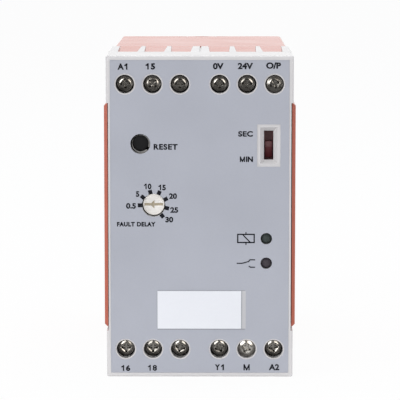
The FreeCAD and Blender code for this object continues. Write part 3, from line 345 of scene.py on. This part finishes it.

# %% [markdown]
# The metal parts are small stampings and turned screws with a thin plating. Plating looks bright
# but never perfect: handling leaves dull patches a few millimetres wide and fine scratches. A
# cloudy noise drives both the colour and the roughness, and a stretched noise makes the
# scratches. The same function gives nickel, a brighter copy of it, brass and zinc by colour.

# %% Plated metals
STRETCH = (1, 1, 0.08)


def plated_metal(name, bright, dull, roughness):
    """Plated metal: bright and dull colours, and base roughness."""
    material, tree = new_tree(name)
    place = object_space(tree)
    cloud = noise(tree, place, size=1.6, detail=4)
    drawn = add_node(tree, "ShaderNodeMapping", {"Scale": STRETCH}, {"Vector": place})
    marks = noise(tree, drawn.outputs["Vector"], size=0.12, detail=2)
    polished, handled = roughness - 0.08, roughness + 0.15
    end_tree(tree, {"Metallic": 1}, {
        "Base Color": ramp(tree, cloud, (0.4, bright), (0.7, dull)),
        "Roughness": spread(tree, cloud, polished, handled),
        "Normal": bump(tree, marks, strength=0.2, height=0.006),
    })
    print("Metal:", name)
    return material


nickel = plated_metal("nickel_plated_steel", "807D78", "5A5752", 0.11)
bright_nickel = plated_metal("bright_nickel_plated_steel", "A9A6A0", "7A7772", 0.11)
brass = plated_metal("drawn_brass", "C9A659", "A98543", 0.32)
zinc = plated_metal("zinc_plated_steel", "B9BCC0", "989CA3", 0.36)

# %% [markdown]
# Inside the case sit the boards and the transformer. The boards are glass laminate under green
# solder mask, where the weave shows as a faint square grid of about half a millimetre. The
# transformer core is a pack of varnished steel sheets, half a millimetre each, and its windings
# are wrapped in yellow polyester tape whose edges overlap every few millimetres. Bands of a Wave
# texture make each of these. A Wave texture repeats every pi / 10 of its scale.

# %% Boards
WAVE = math.pi / 10


def bands(tree, place, pitch, distortion, **settings):
    """Wavy bands as a value, at a pitch in mm."""
    values = {"Scale": per_mm(pitch) * WAVE, "Distortion": distortion}
    made = add_node(tree, "ShaderNodeTexWave", values, {"Vector": place}, **settings)
    return made.outputs["Fac"]


laminate, tree = new_tree("solder_masked_glass_laminate")
place = object_space(tree)
warp = bands(tree, place, pitch=0.5, distortion=0.6, bands_direction="X")
weft = bands(tree, place, pitch=0.5, distortion=0.6, bands_direction="Z")
weave = add_node(tree, "ShaderNodeMath", links={0: warp, 1: weft}, operation="MULTIPLY").outputs[0]
end_tree(tree, {"Roughness": 0.32, "IOR": 1.55}, {
    "Base Color": ramp(tree, weave, (0.1, "1F5A3A"), (0.9, "2C6C48")),
    "Normal": bump(tree, weave, strength=0.3, height=0.01),
})
print("Board finish:", laminate.name)

# %% Core and tape
laminations, tree = new_tree("varnished_transformer_sheet")
sheets = bands(tree, object_space(tree), pitch=0.5, distortion=0.4, bands_direction="Y")
end_tree(tree, {"Metallic": 0.6, "Roughness": 0.42}, {
    "Base Color": ramp(tree, sheets, (0.2, "2B2A2B"), (0.6, "56524E")),
    "Normal": bump(tree, sheets, strength=0.4, height=0.03),
})
tape, tree = new_tree("polyester_winding_tape")
wraps = bands(
    tree, object_space(tree), pitch=4, distortion=0.3, bands_direction="DIAGONAL",
    wave_profile="SAW",
)
end_tree(tree, {"Roughness": 0.3, "IOR": 1.57}, {
    "Base Color": ramp(tree, wraps, (0.1, "C99B2E"), (0.9, "DDB34A")),
    "Normal": bump(tree, wraps, strength=0.4, height=0.05),
})
print("Transformer finishes:", laminations.name, tape.name)

# %% [markdown]
# The two lamps are small light-emitting diodes in tinted epoxy, unlit. Unlit epoxy looks nearly
# black. A spherical gradient, centred on the lamp by a Mapping node, paints the middle darkest,
# as painted shade for the depth of epoxy there, and the rim lighter, as painted light that lifts
# the shade where the dome turns away, so the lens needs no glass.

# %% Lamp lenses
LENS_RADIUS = 1.5 * MM


def lamp_epoxy(name, node_name, rim, middle):
    """Tinted epoxy painted lighter at the rim of the lamp and darker in its middle."""
    low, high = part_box(node_name)
    centre = (low + high) / 2
    material, tree = new_tree(name)
    scale = 1 / LENS_RADIUS
    centred = add_node(
        tree, "ShaderNodeMapping",
        {"Location": (-centre.x * scale, 0, -centre.z * scale), "Scale": (scale, 0, scale)},
        {"Vector": object_space(tree)},
    )
    painted_rim_light_and_depth_shade = add_node(
        tree, "ShaderNodeTexGradient", links={"Vector": centred.outputs["Vector"]},
        gradient_type="SPHERICAL",
    ).outputs["Fac"]
    end_tree(tree, {"Roughness": 0.5, "IOR": 1.52, "Specular IOR Level": 0.35}, {
        "Base Color": ramp(tree, painted_rim_light_and_depth_shade, (0.1, rim), (0.8, middle)),
    })
    print("Lens:", name)
    return material


# Each lens has its rim colour painted light and its middle colour painted shade.
green_lens = lamp_epoxy("green_tinted_epoxy", "power_led", "3C4341", "363F3C")
red_lens = lamp_epoxy("red_tinted_epoxy", "relay_led", "464047", "403940")

# %% [markdown]
# The solids whose shape is already right keep their shape and get one of these finishes. The rest
# are modelled further down and stand in for their solids.

# %% Dress the CAD solids
WAYS = 12
SCREWS = ["%02d" % number for number in range(1, WAYS + 1)]
FINISHES = {
    red_abs: ["case_body", "rail_clip_upper", "rail_clip_lower"],
    grey_abs: ["front_cover"] + [name for name in nodes if name.startswith("terminal_block")],
    label_film: ["front_label"],
    panel_vinyl: ["marker_panel"],
    nickel: ["terminal_screw_" + number for number in SCREWS],
    brass: ["terminal_cages"],
    zinc: ["clamp_plate_" + number for number in SCREWS],
    black_nylon: ["reset_button", "board_link"],
    white_acetal: ["delay_knob", "lamp_spacers"],
    maroon_abs: ["range_slider", "range_switch"],
    black_phenolic: ["reset_switch", "delay_pot"],
    green_lens: ["power_led"],
    red_lens: ["relay_led"],
    laminate: ["control_board", "main_board"],
    laminations: ["transformer_core"],
    ivory_nylon: ["transformer_bobbin", "resistors"],
    tape: ["primary_winding", "secondary_winding"],
    relay_pbt: ["output_relay", "surge_absorber"],
    chip_epoxy: ["timer_chips", "rectifier_diodes", "smoothing_capacitor"],
}
for finish, names in FINISHES.items():
    for name in names:
        nodes[name].material_slots[0].material = finish
dressed = [name for names in FINISHES.values() for name in names]
print("Dressed:", len(dressed), "left:", sorted(set(nodes) - set(dressed)))

# %% [markdown]
# Modelling by operators needs two small habits: start with nothing selected, and pick faces by
# where they are or which way they look. These helpers do that, and put the place of a piece into
# its mesh, so that every piece keeps its origin in the shared frame.

# %% Adding pieces
def select_only(piece):
    """Select one piece alone and make it active."""
    bpy.ops.object.select_all(action="DESELECT")
    piece.select_set(True)
    bpy.context.view_layer.objects.active = piece


def settle(piece):
    """Put the place, turn and scale of a piece into its mesh."""
    select_only(piece)
    bpy.ops.object.transform_apply(location=True, rotation=True, scale=True)


def add_piece(add_primitive, name, **settings):
    """Add a primitive with nothing else selected, name it and settle it."""
    bpy.ops.object.select_all(action="DESELECT")
    add_primitive(**settings)
    piece = bpy.context.object
    piece.name = name
    settle(piece)
    return piece


def add_box(name, place, sides, turn=0):
    """A box, turned about y."""
    return add_piece(
        bpy.ops.mesh.primitive_cube_add, name, size=1, location=place, scale=sides,
        rotation=(0, turn, 0),
    )


def add_cylinder(name, place, radius, depth, vertices=96, turn=0):
    """A cylinder along y, turned about y."""
    return add_piece(
        bpy.ops.mesh.primitive_cylinder_add, name, location=place, radius=radius, depth=depth,
        vertices=vertices, rotation=(math.pi / 2, turn, 0),
    )


# %% Picking faces
FACING = 0.9
bpy.context.scene.tool_settings.mesh_select_mode = (False, False, True)


def front(centre, normal):
    """True for a face that looks to the front."""
    return normal.y < -FACING


def rear(centre, normal):
    """True for a face that looks to the rear."""
    return normal.y > FACING


def pick_faces(piece, wanted):
    """Go to edit mode with only the faces selected whose centre and normal pass a test."""
    bpy.ops.object.mode_set(mode="EDIT")
    bpy.ops.mesh.select_all(action="DESELECT")
    bpy.ops.object.mode_set(mode="OBJECT")
    for face in piece.data.polygons:
        face.select = wanted(face.center, face.normal)
    bpy.ops.object.mode_set(mode="EDIT")


print("Faces are picked within", round(math.degrees(math.acos(FACING))), "degrees of an axis")

# %% [markdown]
# More helpers shape a piece: one applies a modifier, one cuts a piece with another, one tapers
# its rear, and two round edges, either of picked faces or of every sharp corner. The last sets the
# finish and lets the piece ride on its body.

# %% Shaping helpers
SMOOTH = 35


def use_modifier(piece, kind, **settings):
    """Add a modifier with its settings and apply it."""
    select_only(piece)
    modifier = piece.modifiers.new(kind.lower(), kind)
    for name, value in settings.items():
        setattr(modifier, name, value)
    bpy.ops.object.modifier_apply(modifier=modifier.name)


def cut_away(piece, cutter):
    """Subtract a cutter from a piece and remove the cutter."""
    use_modifier(piece, "BOOLEAN", operation="DIFFERENCE", object=cutter, solver="EXACT")
    bpy.data.objects.remove(cutter)


def taper_rear(piece, shares):
    """Scale the rear face of a piece to its shares along the axes."""
    pick_faces(piece, rear)
    bpy.ops.transform.resize(value=shares)
    bpy.ops.object.mode_set(mode="OBJECT")


def round_faces(piece, wanted, width, segments):
    """Round the edges of the faces that pass a test, by a width in mm."""
    pick_faces(piece, wanted)
    bpy.ops.mesh.bevel(offset=width * MM, segments=segments, affect="EDGES")
    bpy.ops.object.mode_set(mode="OBJECT")


def round_corners(piece, width, sharper):
    """Round every edge that turns by more than an angle, by a width in mm."""
    use_modifier(
        piece, "BEVEL", width=width * MM, segments=2, limit_method="ANGLE",
        angle_limit=math.radians(sharper),
    )


def finish_piece(piece, body, finish, angle=SMOOTH):
    """Smooth the shading, set the finish, and let the piece ride on its body."""
    select_only(piece)
    bpy.ops.object.shade_smooth_by_angle(angle=math.radians(angle))
    piece.data.materials.clear()
    piece.data.materials.append(finish)
    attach(piece, body)


print("Edges stay sharp above", SMOOTH, "degrees")

# %% [markdown]
# The terminal screws catch the eye first. Each has a low domed head with a cross recess, and sits
# a few millimetres behind the label in its own hole. The dome matters: a flat head would mirror
# one grey tone, and a dome gathers each lamp into a small bright mark and leaves its rim dark.
# One screw is modelled along y with its seat at the origin. It is a cylinder whose front face is
# inset and raised in steps of the dome, and whose rear face is inset and drawn out to the shank.
# Two four-sided dishes, a shallow one and a steep one, and two tapered bars cut the recess. Each
# dish is a pointed cone whose middle lies on the face, so its scale is the half width, the half
# height and the depth of the dish.

# %% One screw
screw_low, screw_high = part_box("terminal_screw_01")
HEAD_RADIUS = (screw_high.x - screw_low.x) / 2
HEAD_HEIGHT = 2.2 * MM
SHANK_RADIUS = 1.5 * MM
SHANK_LENGTH = screw_high.y - screw_low.y - HEAD_HEIGHT
TIP = 0.6 * MM
TIP_SHARES = (0.7, 1, 0.7)
DOME = [
    (0.06, 0.16), (0.12, 0.1), (0.06, 0.02), (0.1, 0.021),
    (0.51, 0.107), (0.1, 0.021), (0.3, 0.038), (0.6, 0.026),
]
barrel = HEAD_HEIGHT - sum(step for inset, step in DOME) * MM
screw = add_cylinder("screw", (0, -barrel / 2, 0), HEAD_RADIUS, barrel, vertices=64)
pick_faces(screw, front)
for inset, step in DOME:
    bpy.ops.mesh.inset(thickness=inset * MM)
    bpy.ops.transform.translate(value=(0, -step * MM, 0))
bpy.ops.object.mode_set(mode="OBJECT")
pick_faces(screw, rear)
bpy.ops.mesh.inset(thickness=HEAD_RADIUS - SHANK_RADIUS)
for length in (SHANK_LENGTH - TIP, TIP):
    bpy.ops.mesh.extrude_region_move(TRANSFORM_OT_translate={"value": (0, length, 0)})
bpy.ops.transform.resize(value=TIP_SHARES)
bpy.ops.object.mode_set(mode="OBJECT")
print("Screw head:", round(2 * HEAD_RADIUS / MM, 2), "mm across")
print("Screw shank:", round(SHANK_LENGTH / MM, 2), "mm long")

# %% The recess
DISHES = [(2.0 * MM, 1.75 * MM, 0.328 * MM), (1.7 * MM, 1.45 * MM, 0.6 * MM)]
ARM_LENGTH, ARM_WIDTH, ARM_DEPTH = 3.7 * MM, 0.9 * MM, 1.3 * MM
ARM_SHARES = (0.5, 1, 0.5)
head_face = (0, -HEAD_HEIGHT, 0)
for half_wide, half_tall, depth in DISHES:
    dish = add_piece(
        bpy.ops.mesh.primitive_cone_add, "dish", vertices=4, radius1=2, depth=2,
        location=head_face, rotation=(-math.pi / 2, 0, 0), scale=(half_wide, half_tall, depth),
    )
    cut_away(screw, dish)
for turn in (0, math.pi / 2):
    bar = add_box("bar", head_face, (ARM_LENGTH, 2 * ARM_DEPTH, ARM_WIDTH), turn)
    taper_rear(bar, ARM_SHARES)
    cut_away(screw, bar)
print("Screw faces:", len(screw.data.polygons))

# %% [markdown]
# All twelve screws are copies of that one, each with its own mesh, turned to the angle at which
# it was left and set at its own depth. The place comes from the model's solids, so each head
# stays on its own thread. One of them gets a brighter copy of the nickel.

# %% Twelve screws
TURNED = [-5, 45, 0, 0, 4, -25, 0, 2, 15, -25, 25, -8]
BRIGHTER_SCREW = "11"
SCREW_ANGLE = 12


def copy_of(piece, name):
    """A copy of a piece, with its own mesh and name."""
    select_only(piece)
    bpy.ops.object.duplicate()
    made = bpy.context.object
    made.name = name
    return made


for number, turn in zip(SCREWS, TURNED):
    low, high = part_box("terminal_screw_" + number)
    copy = copy_of(screw, "screw_detailed_" + number)
    copy.rotation_euler = (0, math.radians(turn), 0)
    copy.location = ((low.x + high.x) / 2, low.y + HEAD_HEIGHT, (low.z + high.z) / 2)
    settle(copy)
    plating = bright_nickel if number == BRIGHTER_SCREW else nickel
    finish_piece(copy, "screw_" + number, plating, angle=SCREW_ANGLE)
    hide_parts("terminal_screw_" + number)
bpy.data.objects.remove(screw)
print("Screws:", len(SCREWS))

# %% [markdown]
# The delay dial is a white trimmer knob with an arrow moulded across its face as a groove. Its
# face is painted whiter than the other white acetal, as painted light that lifts the shade of its
# recess, and the groove is coloured beige, more so where it is deeper. The rim is rounded by a
# bevel, the groove is cut by a bar and a three-sided prism, and the beige comes from the depth
# along y, so it stays in the groove when the knob turns.

# %% Knob body
knob_low, knob_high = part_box("delay_knob")
KNOB_RADIUS = (knob_high.x - knob_low.x) / 2
KNOB_DEPTH = knob_high.y - knob_low.y
knob_x = (knob_low.x + knob_high.x) / 2
knob_z = (knob_low.z + knob_high.z) / 2
knob_middle = (knob_x, knob_low.y + KNOB_DEPTH / 2, knob_z)
knob = add_cylinder("dial_knob_detailed", knob_middle, KNOB_RADIUS, KNOB_DEPTH)
round_faces(knob, front, width=0.12, segments=4)
print("Knob:", round(2 * KNOB_RADIUS / MM, 2), "mm across")

# %% Arrow groove
CUTTER = 0.9 * MM
SHAFT_LENGTH, SHAFT_WIDTH = 5.4 * MM, 0.95 * MM
SHAFT_SHARES = (0.95, 1, 0.6)
ARROW_RADIUS = 1.35 * MM
ARROW_SHIFT = 0.24 * MM
ARROW_SHARES = (0.62, 1, 1)
shaft = add_box("shaft", (knob_x, knob_low.y, knob_z), (SHAFT_LENGTH, CUTTER, SHAFT_WIDTH))
taper_rear(shaft, SHAFT_SHARES)
cut_away(knob, shaft)
arrow_place = (knob_x - ARROW_SHIFT, knob_low.y, knob_z)
arrow = add_cylinder("arrow", arrow_place, ARROW_RADIUS, CUTTER, vertices=3, turn=-math.pi / 2)
bpy.ops.object.mode_set(mode="EDIT")
bpy.ops.mesh.select_all(action="SELECT")
bpy.ops.transform.resize(value=ARROW_SHARES, center_override=arrow_place)
bpy.ops.object.mode_set(mode="OBJECT")
cut_away(knob, arrow)
round_corners(knob, width=0.05, sharper=40)
print("Knob faces:", len(knob.data.polygons))

# %% Knob finish
BEIGE_FROM, BEIGE_TO = 0.12 * MM, 0.4 * MM
knob_acetal, tree = new_tree("white_acetal_painted_lit_face_beige_groove")
place = object_space(tree)
axes = add_node(tree, "ShaderNodeSeparateXYZ", links={0: place}).outputs
groove = add_node(
    tree, "ShaderNodeMapRange",
    {"From Min": knob_low.y + BEIGE_FROM, "From Max": knob_low.y + BEIGE_TO}, {"Value": axes["Y"]},
).outputs["Result"]
uneven = noise(tree, place, size=0.8, detail=3)
end_tree(tree, {"Roughness": 0.4, "IOR": 1.48}, {
    # The white is painted light, above the acetal's own white, to lift the shade of the recess.
    "Base Color": ramp(tree, groove, (0, "FFFCF6"), (1, "BDB199")),
    "Normal": bump(tree, uneven, strength=0.15, height=0.02),
})
finish_piece(knob, "knob", knob_acetal)
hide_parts("delay_knob")
print("Knob finish:", knob_acetal.name)

# %% [markdown]
# The range switch is worked with a fingernail through a funnel in the cover. Its maroon slider
# has a raised grip at the upper end and slopes back below it, so the grip is the bright part and
# the foot is in shade. A box is cut in two at the grip, and the lower half of its face is turned
# back about the cut.

# %% Switch slider
GRIP = 1.7 * MM
SLOPE = math.radians(20)
slide_low, slide_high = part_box("range_slider")
size = slide_high - slide_low
cut = slide_high.z - GRIP
slider = add_box("range_slider_detailed", (slide_low + slide_high) / 2, size)
bpy.ops.object.mode_set(mode="EDIT")
bpy.ops.mesh.select_all(action="SELECT")
bpy.ops.mesh.bisect(plane_co=(0, 0, cut), plane_no=(0, 0, 1))
bpy.ops.object.mode_set(mode="OBJECT")
pick_faces(slider, lambda centre, normal: front(centre, normal) and centre.z < cut)
bpy.ops.transform.rotate(
    value=-SLOPE, orient_axis="X", center_override=(slide_low.x, slide_low.y, cut)
)
bpy.ops.object.mode_set(mode="OBJECT")
round_corners(slider, width=0.12, sharper=15)
finish_piece(slider, "slider", maroon_abs)
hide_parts("range_slider")
print("Slider:", [round(side / MM, 2) for side in size], "mm")

# %% [markdown]
# The reset button is a black pin with a barely rounded face, well behind the label in a wide
# hole. A cylinder is enough for it: its front edge is rounded by a bevel, and its rear face is
# inset and drawn out to the stem that works the switch.

# %% Reset button
STEM_RADIUS = 1.7 * MM
STEM_LENGTH = 0.8 * MM
button_low, button_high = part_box("reset_button")
BUTTON_RADIUS = (button_high.x - button_low.x) / 2
button_x = (button_low.x + button_high.x) / 2
button_z = (button_low.z + button_high.z) / 2
collar_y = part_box("reset_switch")[0].y - STEM_LENGTH
button = add_cylinder(
    "reset_button_detailed", (button_x, (button_low.y + collar_y) / 2, button_z), BUTTON_RADIUS,
    collar_y - button_low.y,
)
round_faces(button, front, width=0.12, segments=3)
pick_faces(button, rear)
bpy.ops.mesh.inset(thickness=BUTTON_RADIUS - STEM_RADIUS)
stem = (0, button_high.y - collar_y, 0)
bpy.ops.mesh.extrude_region_move(TRANSFORM_OT_translate={"value": stem})
bpy.ops.object.mode_set(mode="OBJECT")
finish_piece(button, "button", black_nylon)
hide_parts("reset_button")
print("Button:", round(2 * BUTTON_RADIUS / MM, 2), "mm across")

# %% [markdown]
# Around the button lies a grey guide ring, flat against the inside of the cover. It sits off
# centre, so it shows as a thin line at the lower left and as a broad crescent at the lower right,
# with a dark notch. A disc, set off centre, is bored out for the button, and a bar notches it.

# %% Guide ring
COVER_WALL = 2.2 * MM
RING_THICK = 0.4 * MM
RING_RADIUS = 2.53 * MM
OFF_CENTRE, OFF_ANGLE = 0.22 * MM, math.radians(-55)
BORE_GAP, BORE_DEPTH = 0.12 * MM, 2 * MM
NOTCH, NOTCH_ANGLE = (2 * MM, 2 * MM, 0.9 * MM), math.radians(-35)
ring_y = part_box("front_cover")[0].y + COVER_WALL + RING_THICK / 2


def by_button(radius, angle):
    """The place in the ring's plane at a radius and an angle around the button."""
    return (button_x + radius * math.cos(angle), ring_y, button_z + radius * math.sin(angle))


ring = add_cylinder("guide_ring", by_button(OFF_CENTRE, OFF_ANGLE), RING_RADIUS, RING_THICK)
bore = add_cylinder("bore", by_button(0, 0), BUTTON_RADIUS + BORE_GAP, BORE_DEPTH)
cut_away(ring, bore)
notch = add_box("notch", by_button(RING_RADIUS, NOTCH_ANGLE), NOTCH, turn=-NOTCH_ANGLE)
cut_away(ring, notch)
round_corners(ring, width=0.05, sharper=40)
finish_piece(ring, "housing", grey_nylon)
print("Guide ring faces:", len(ring.data.polygons))

# %% [markdown]
# Each pair of terminal blocks meets in the middle at a narrow slit, which is closed a little
# below the surface by a web, so it looks pale and not black. The web is a bar whose outer edges
# are rounded, made once above and copied to the lower pair.

# %% Webs between the blocks
WEB_SUNK = 0.35 * MM
WEB_TALL = 0.8 * MM
WEB_SHORTER = 1 * MM
left_block, right_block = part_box("terminal_block_top_left"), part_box("terminal_block_top_right")
slit = right_block[0].x - left_block[1].x
web_middle = (
    left_block[1].x + slit / 2, (left_block[0].y + left_block[1].y) / 2,
    left_block[1].z - WEB_SUNK - WEB_TALL / 2,
)
web_length = left_block[1].y - left_block[0].y - WEB_SHORTER
web = add_box("web_upper", web_middle, (slit, web_length, WEB_TALL))
round_faces(web, lambda centre, normal: normal.z > FACING, width=0.06, segments=2)
lower_web = copy_of(web, "web_lower")
lower_web.rotation_euler = (0, math.pi, 0)
settle(lower_web)
for piece in (web, lower_web):
    finish_piece(piece, "housing", grey_abs)
print("Webs:", web.name, lower_web.name, "in a slit of", round(slit / MM, 2), "mm")

# %% [markdown]
# The marks are screen printed: a layer of ink about 0.02 mm thick that stands on the film. They
# could be painted in the film's material, but thin solid marks keep a sharp edge at any distance.
# Lines and blocks are bars: flat boxes whose front edges are rounded by a bevel, as ink draws
# back from its edge when it dries. The dial marks are seven of them around the knob, and the lamp
# signs are an outlined coil and a changeover contact. From here on, places are in millimetres.

# %% Bars of ink and of painted shade
LABEL_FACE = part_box("front_label")[0].y
INK = 0.02 * MM
INK_EDGE = 0.006
OVERLAP = 0.9
PRINT_ANGLE = 20


def ink_or_shade_bar(x, z, length, width, angle):
    """A bar of ink or painted shade centred at x and z, turned anticlockwise by an angle in
    degrees.
    """
    place = (x * MM, LABEL_FACE - INK / 2, z * MM)
    bar = add_box("bar", place, (length * MM, INK, width * MM), turn=-math.radians(angle))
    round_faces(bar, front, width=INK_EDGE, segments=1)
    return bar


def ink_line(points, width):
    """Bars from point to point, which overlap at the corners."""
    bars = []
    for (x0, z0), (x1, z1) in zip(points, points[1:]):
        length = math.hypot(x1 - x0, z1 - z0) + width * OVERLAP
        angle = math.degrees(math.atan2(z1 - z0, x1 - x0))
        bars.append(ink_or_shade_bar((x0 + x1) / 2, (z0 + z1) / 2, length, width, angle))
    return bars


def join_print(pieces, name, finish=screen_ink):
    """Join printed pieces, or pieces of painted shade, to one, and let it ride on the housing."""
    select_only(pieces[0])
    for piece in pieces:
        piece.select_set(True)
    if len(pieces) > 1:
        bpy.ops.object.join()
    pieces[0].name = name
    finish_piece(pieces[0], "housing", finish, angle=PRINT_ANGLE)
    print("Printed:", name, len(pieces[0].data.polygons), "faces")


print("Label face at y =", round(LABEL_FACE / MM, 2), "mm")

# %% Dial marks
MARK_ANGLES = (180, 143, 104, 66, 27, -12, -51)
MARK_RING = 3.8
MARK_LENGTH, MARK_WIDTH = 1.2, 1.1
marks = []
for angle in MARK_ANGLES:
    mark_x = knob_x / MM + MARK_RING * math.cos(math.radians(angle))
    mark_z = knob_z / MM + MARK_RING * math.sin(math.radians(angle))
    marks.append(ink_or_shade_bar(mark_x, mark_z, MARK_LENGTH, MARK_WIDTH, angle))
join_print(marks, "dial_marks")

# %% Coil sign
COIL_X, COIL_Z = 12.88, -5.84
HALF_WIDE, HALF_TALL = 2.29, 1.14
OUTLINE, SLASH, STUB = 0.36, 0.32, 0.3
STUB_UP, STUB_DOWN = 0.5, 0.55
SLASH_FROM, SLASH_TO = 1.32, 3.5
left, right = COIL_X - HALF_WIDE, COIL_X + HALF_WIDE
bottom, top = COIL_Z - HALF_TALL, COIL_Z + HALF_TALL
outline = [(left, top), (right, top), (right, bottom), (left, bottom), (left, top)]
coil_sign = ink_line(outline, OUTLINE)
coil_sign += ink_line([(COIL_X, top), (COIL_X, top + STUB_UP)], STUB)
coil_sign += ink_line([(COIL_X, bottom), (COIL_X, bottom - STUB_DOWN)], STUB)
coil_sign += ink_line([(left + SLASH_FROM, top), (left + SLASH_TO, bottom)], SLASH)
join_print(coil_sign, "coil_sign")

# %% Contact sign
BLADE, REST = 0.32, 0.3
blade = [(10.47, -12.84), (11.79, -12.84), (13.59, -12.35), (14.04, -11.84), (15.3, -11.86)]
rest = [(13.77, -13.69), (14.22, -13.94), (15.33, -13.94)]
contact_sign = ink_line(blade, BLADE) + ink_line(rest, REST)
join_print(contact_sign, "contact_sign")

# %% [markdown]
# The writing panel lies in a window of the print that is a little wider than the panel, so a
# strip of bare film shows at its right. A thin grey line of painted shade runs round the panel,
# where the gap at its edge is in shadow. The line and the strip are bars as well, placed from the
# panel's own box.

# %% Panel border
STRIP = 1.0
ABOVE, BELOW, BEFORE, AFTER = 0.24, 0.38, 0.18, 0.26
panel_low, panel_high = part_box("marker_panel")
x0, x1 = panel_low.x / MM, panel_high.x / MM
z0, z1 = panel_low.z / MM, panel_high.z / MM
middle_x, middle_z = (x0 + x1 + STRIP) / 2, (z0 + z1) / 2
wide, tall = x1 - x0 + STRIP, z1 - z0
# Painted shade: grey bars where the gap round the panel is in shadow.
panel_gap_shade = [
    ink_or_shade_bar(middle_x, z1 + ABOVE / 2, wide, ABOVE, 0),
    ink_or_shade_bar(middle_x, z0 - BELOW / 2, wide, BELOW, 0),
    ink_or_shade_bar(x0 - BEFORE / 2, middle_z, tall, BEFORE, 90),
    ink_or_shade_bar(x1 + AFTER / 2, middle_z, tall, AFTER, 90),
]
join_print(panel_gap_shade, "panel_gap_shade", gap_shade_grey)
panel_strip = [ink_or_shade_bar(x1 + AFTER + STRIP / 2, middle_z, tall, STRIP, 90)]
join_print(panel_strip, "panel_strip", bare_film)

# %% [markdown]
# Each word is a text object made a mesh, stretched to the width and height that it has on the
# label, and set on the film. The built-in font is made bolder by its offset, and some words are
# spaced a little wider. Its figure 1 has no flag and its letter M is too light, so those two are
# drawn as lines of ink. Each word below has the x and z of its middle, its width, its height and
# its offset.

# %% Word helper
HALF_THICK = 0.1


def corners(piece):
    """Lowest and highest corner of a piece's mesh."""
    places = [corner.co for corner in piece.data.vertices]
    return [[pick(place[axis] for place in places) for axis in range(3)] for pick in (min, max)]


def print_word(text, x, z, width, height, bold, spacing=1):
    """One printed word centred at x and z on the label."""
    bpy.ops.object.select_all(action="DESELECT")
    bpy.ops.object.text_add()
    letters = bpy.context.object.data
    letters.body = text
    letters.offset = bold
    letters.space_character = spacing
    letters.extrude = HALF_THICK
    bpy.ops.object.convert(target="MESH")
    word = bpy.context.object
    low, high = corners(word)
    across, up = width * MM / (high[0] - low[0]), height * MM / (high[1] - low[1])
    word.scale = (across, up, INK / (2 * HALF_THICK))
    word.rotation_euler = (math.pi / 2, 0, 0)
    settle(word)
    low, high = corners(word)
    middle_x, middle_z = (low[0] + high[0]) / 2, (low[2] + high[2]) / 2
    word.location = (x * MM - middle_x, LABEL_FACE - high[1], z * MM - middle_z)
    settle(word)
    return word


print("Words are scaled to", round(INK / MM, 3), "mm of ink")

# %% Drawn figures
FLAG_REACH, FLAG_DROP = 0.27, 0.2


def figure_one(x, z, height, stroke):
    """The figure 1 with its stem at x: a flag and a stem."""
    rise = (height - stroke) / 2
    flag = (x - FLAG_REACH * height, z + rise - FLAG_DROP * height)
    return ink_line([flag, (x, z + rise), (x, z - rise)], stroke)


def letter_m(x, z, width, height, stroke):
    """The letter M: two stems and a notch that reaches the line."""
    side, rise = (width - stroke) / 2, (height - stroke) / 2
    left_stem = [(x - side, z - rise), (x - side, z + rise)]
    right_stem = [(x + side, z + rise), (x + side, z - rise)]
    return ink_line(left_stem + [(x, z - rise)] + right_stem, stroke)


print("Flag of the figure 1:", FLAG_REACH, "of its height")

# %% Terminal marks
MARK, STEM = 1.75, 0.4
FOOT_MARK, FOOT_STEM = 1.65, 0.35
terminal_marks = [
    print_word("A", -21.82, 42.0, 1.8, MARK, 0.052),
    print_word("5", -12.9, 42.05, 1.2, MARK, 0.052),
    print_word("0V", 5.13, 42.12, 2.95, MARK, 0.046),
    print_word("24V", 12.61, 42.17, 4.2, MARK, 0.046),
    print_word("O/P", 20.39, 42.29, 4.1, MARK, 0.046),
    print_word("6", -20.08, -42.54, 1.2, FOOT_MARK, 0.05),
    print_word("8", -12.59, -42.47, 1.2, FOOT_MARK, 0.04),
    print_word("Y", 4.96, -42.28, 1.45, FOOT_MARK, 0.055),
    print_word("A2", 20.83, -42.25, 2.95, MARK, 0.04),
]
terminal_marks += figure_one(-20.15, 42.0, MARK, STEM)
terminal_marks += figure_one(-14.28, 42.05, MARK, STEM)
terminal_marks += figure_one(-21.36, -42.54, FOOT_MARK, FOOT_STEM)
terminal_marks += figure_one(-13.9, -42.47, FOOT_MARK, FOOT_STEM)
terminal_marks += figure_one(6.6, -42.28, FOOT_MARK, STEM)
terminal_marks += letter_m(13.15, -42.3, 1.75, MARK, stroke=0.37)
join_print(terminal_marks, "terminal_marks")

# %% Control words
RANGE_WORD = 1.55
control_words = [
    print_word("RESET", -9.45, 19.75, 6.65, 1.62, 0.042, spacing=1.14),
    print_word("SEC", 12.7, 23.37, 4.05, RANGE_WORD, 0.042, spacing=1.06),
    print_word("IN", 13.79, 16.31, 1.95, RANGE_WORD, 0.046),
    print_word("FAULT DELAY", -17.65, -1.88, 10.75, 1.3, 0.055, spacing=1.12),
]
control_words += letter_m(11.85, 16.31, 1.45, RANGE_WORD, stroke=0.33)
join_print(control_words, "control_words")

# %% Dial numbers
NUMBER, NUMBER_BOLD, NUMBER_STEM = 1.58, 0.045, 0.32
dial_numbers = [
    print_word("0.5", -19.1, 3.26, 2.75, NUMBER, NUMBER_BOLD),
    print_word("5", -17.25, 6.59, 0.95, NUMBER, NUMBER_BOLD),
    print_word("0", -13.92, 8.72, 1.0, NUMBER, NUMBER_BOLD),
    print_word("5", -9.9, 8.41, 1.0, NUMBER, NUMBER_BOLD),
    print_word("20", -7.42, 6.01, 2.2, NUMBER, NUMBER_BOLD),
    print_word("25", -7.09, 2.12, 2.2, NUMBER, NUMBER_BOLD),
    print_word("30", -8.46, -0.58, 2.2, NUMBER, NUMBER_BOLD),
]
dial_numbers += figure_one(-14.9, 8.72, NUMBER, NUMBER_STEM)
dial_numbers += figure_one(-10.88, 8.41, NUMBER, NUMBER_STEM)
join_print(dial_numbers, "dial_numbers")
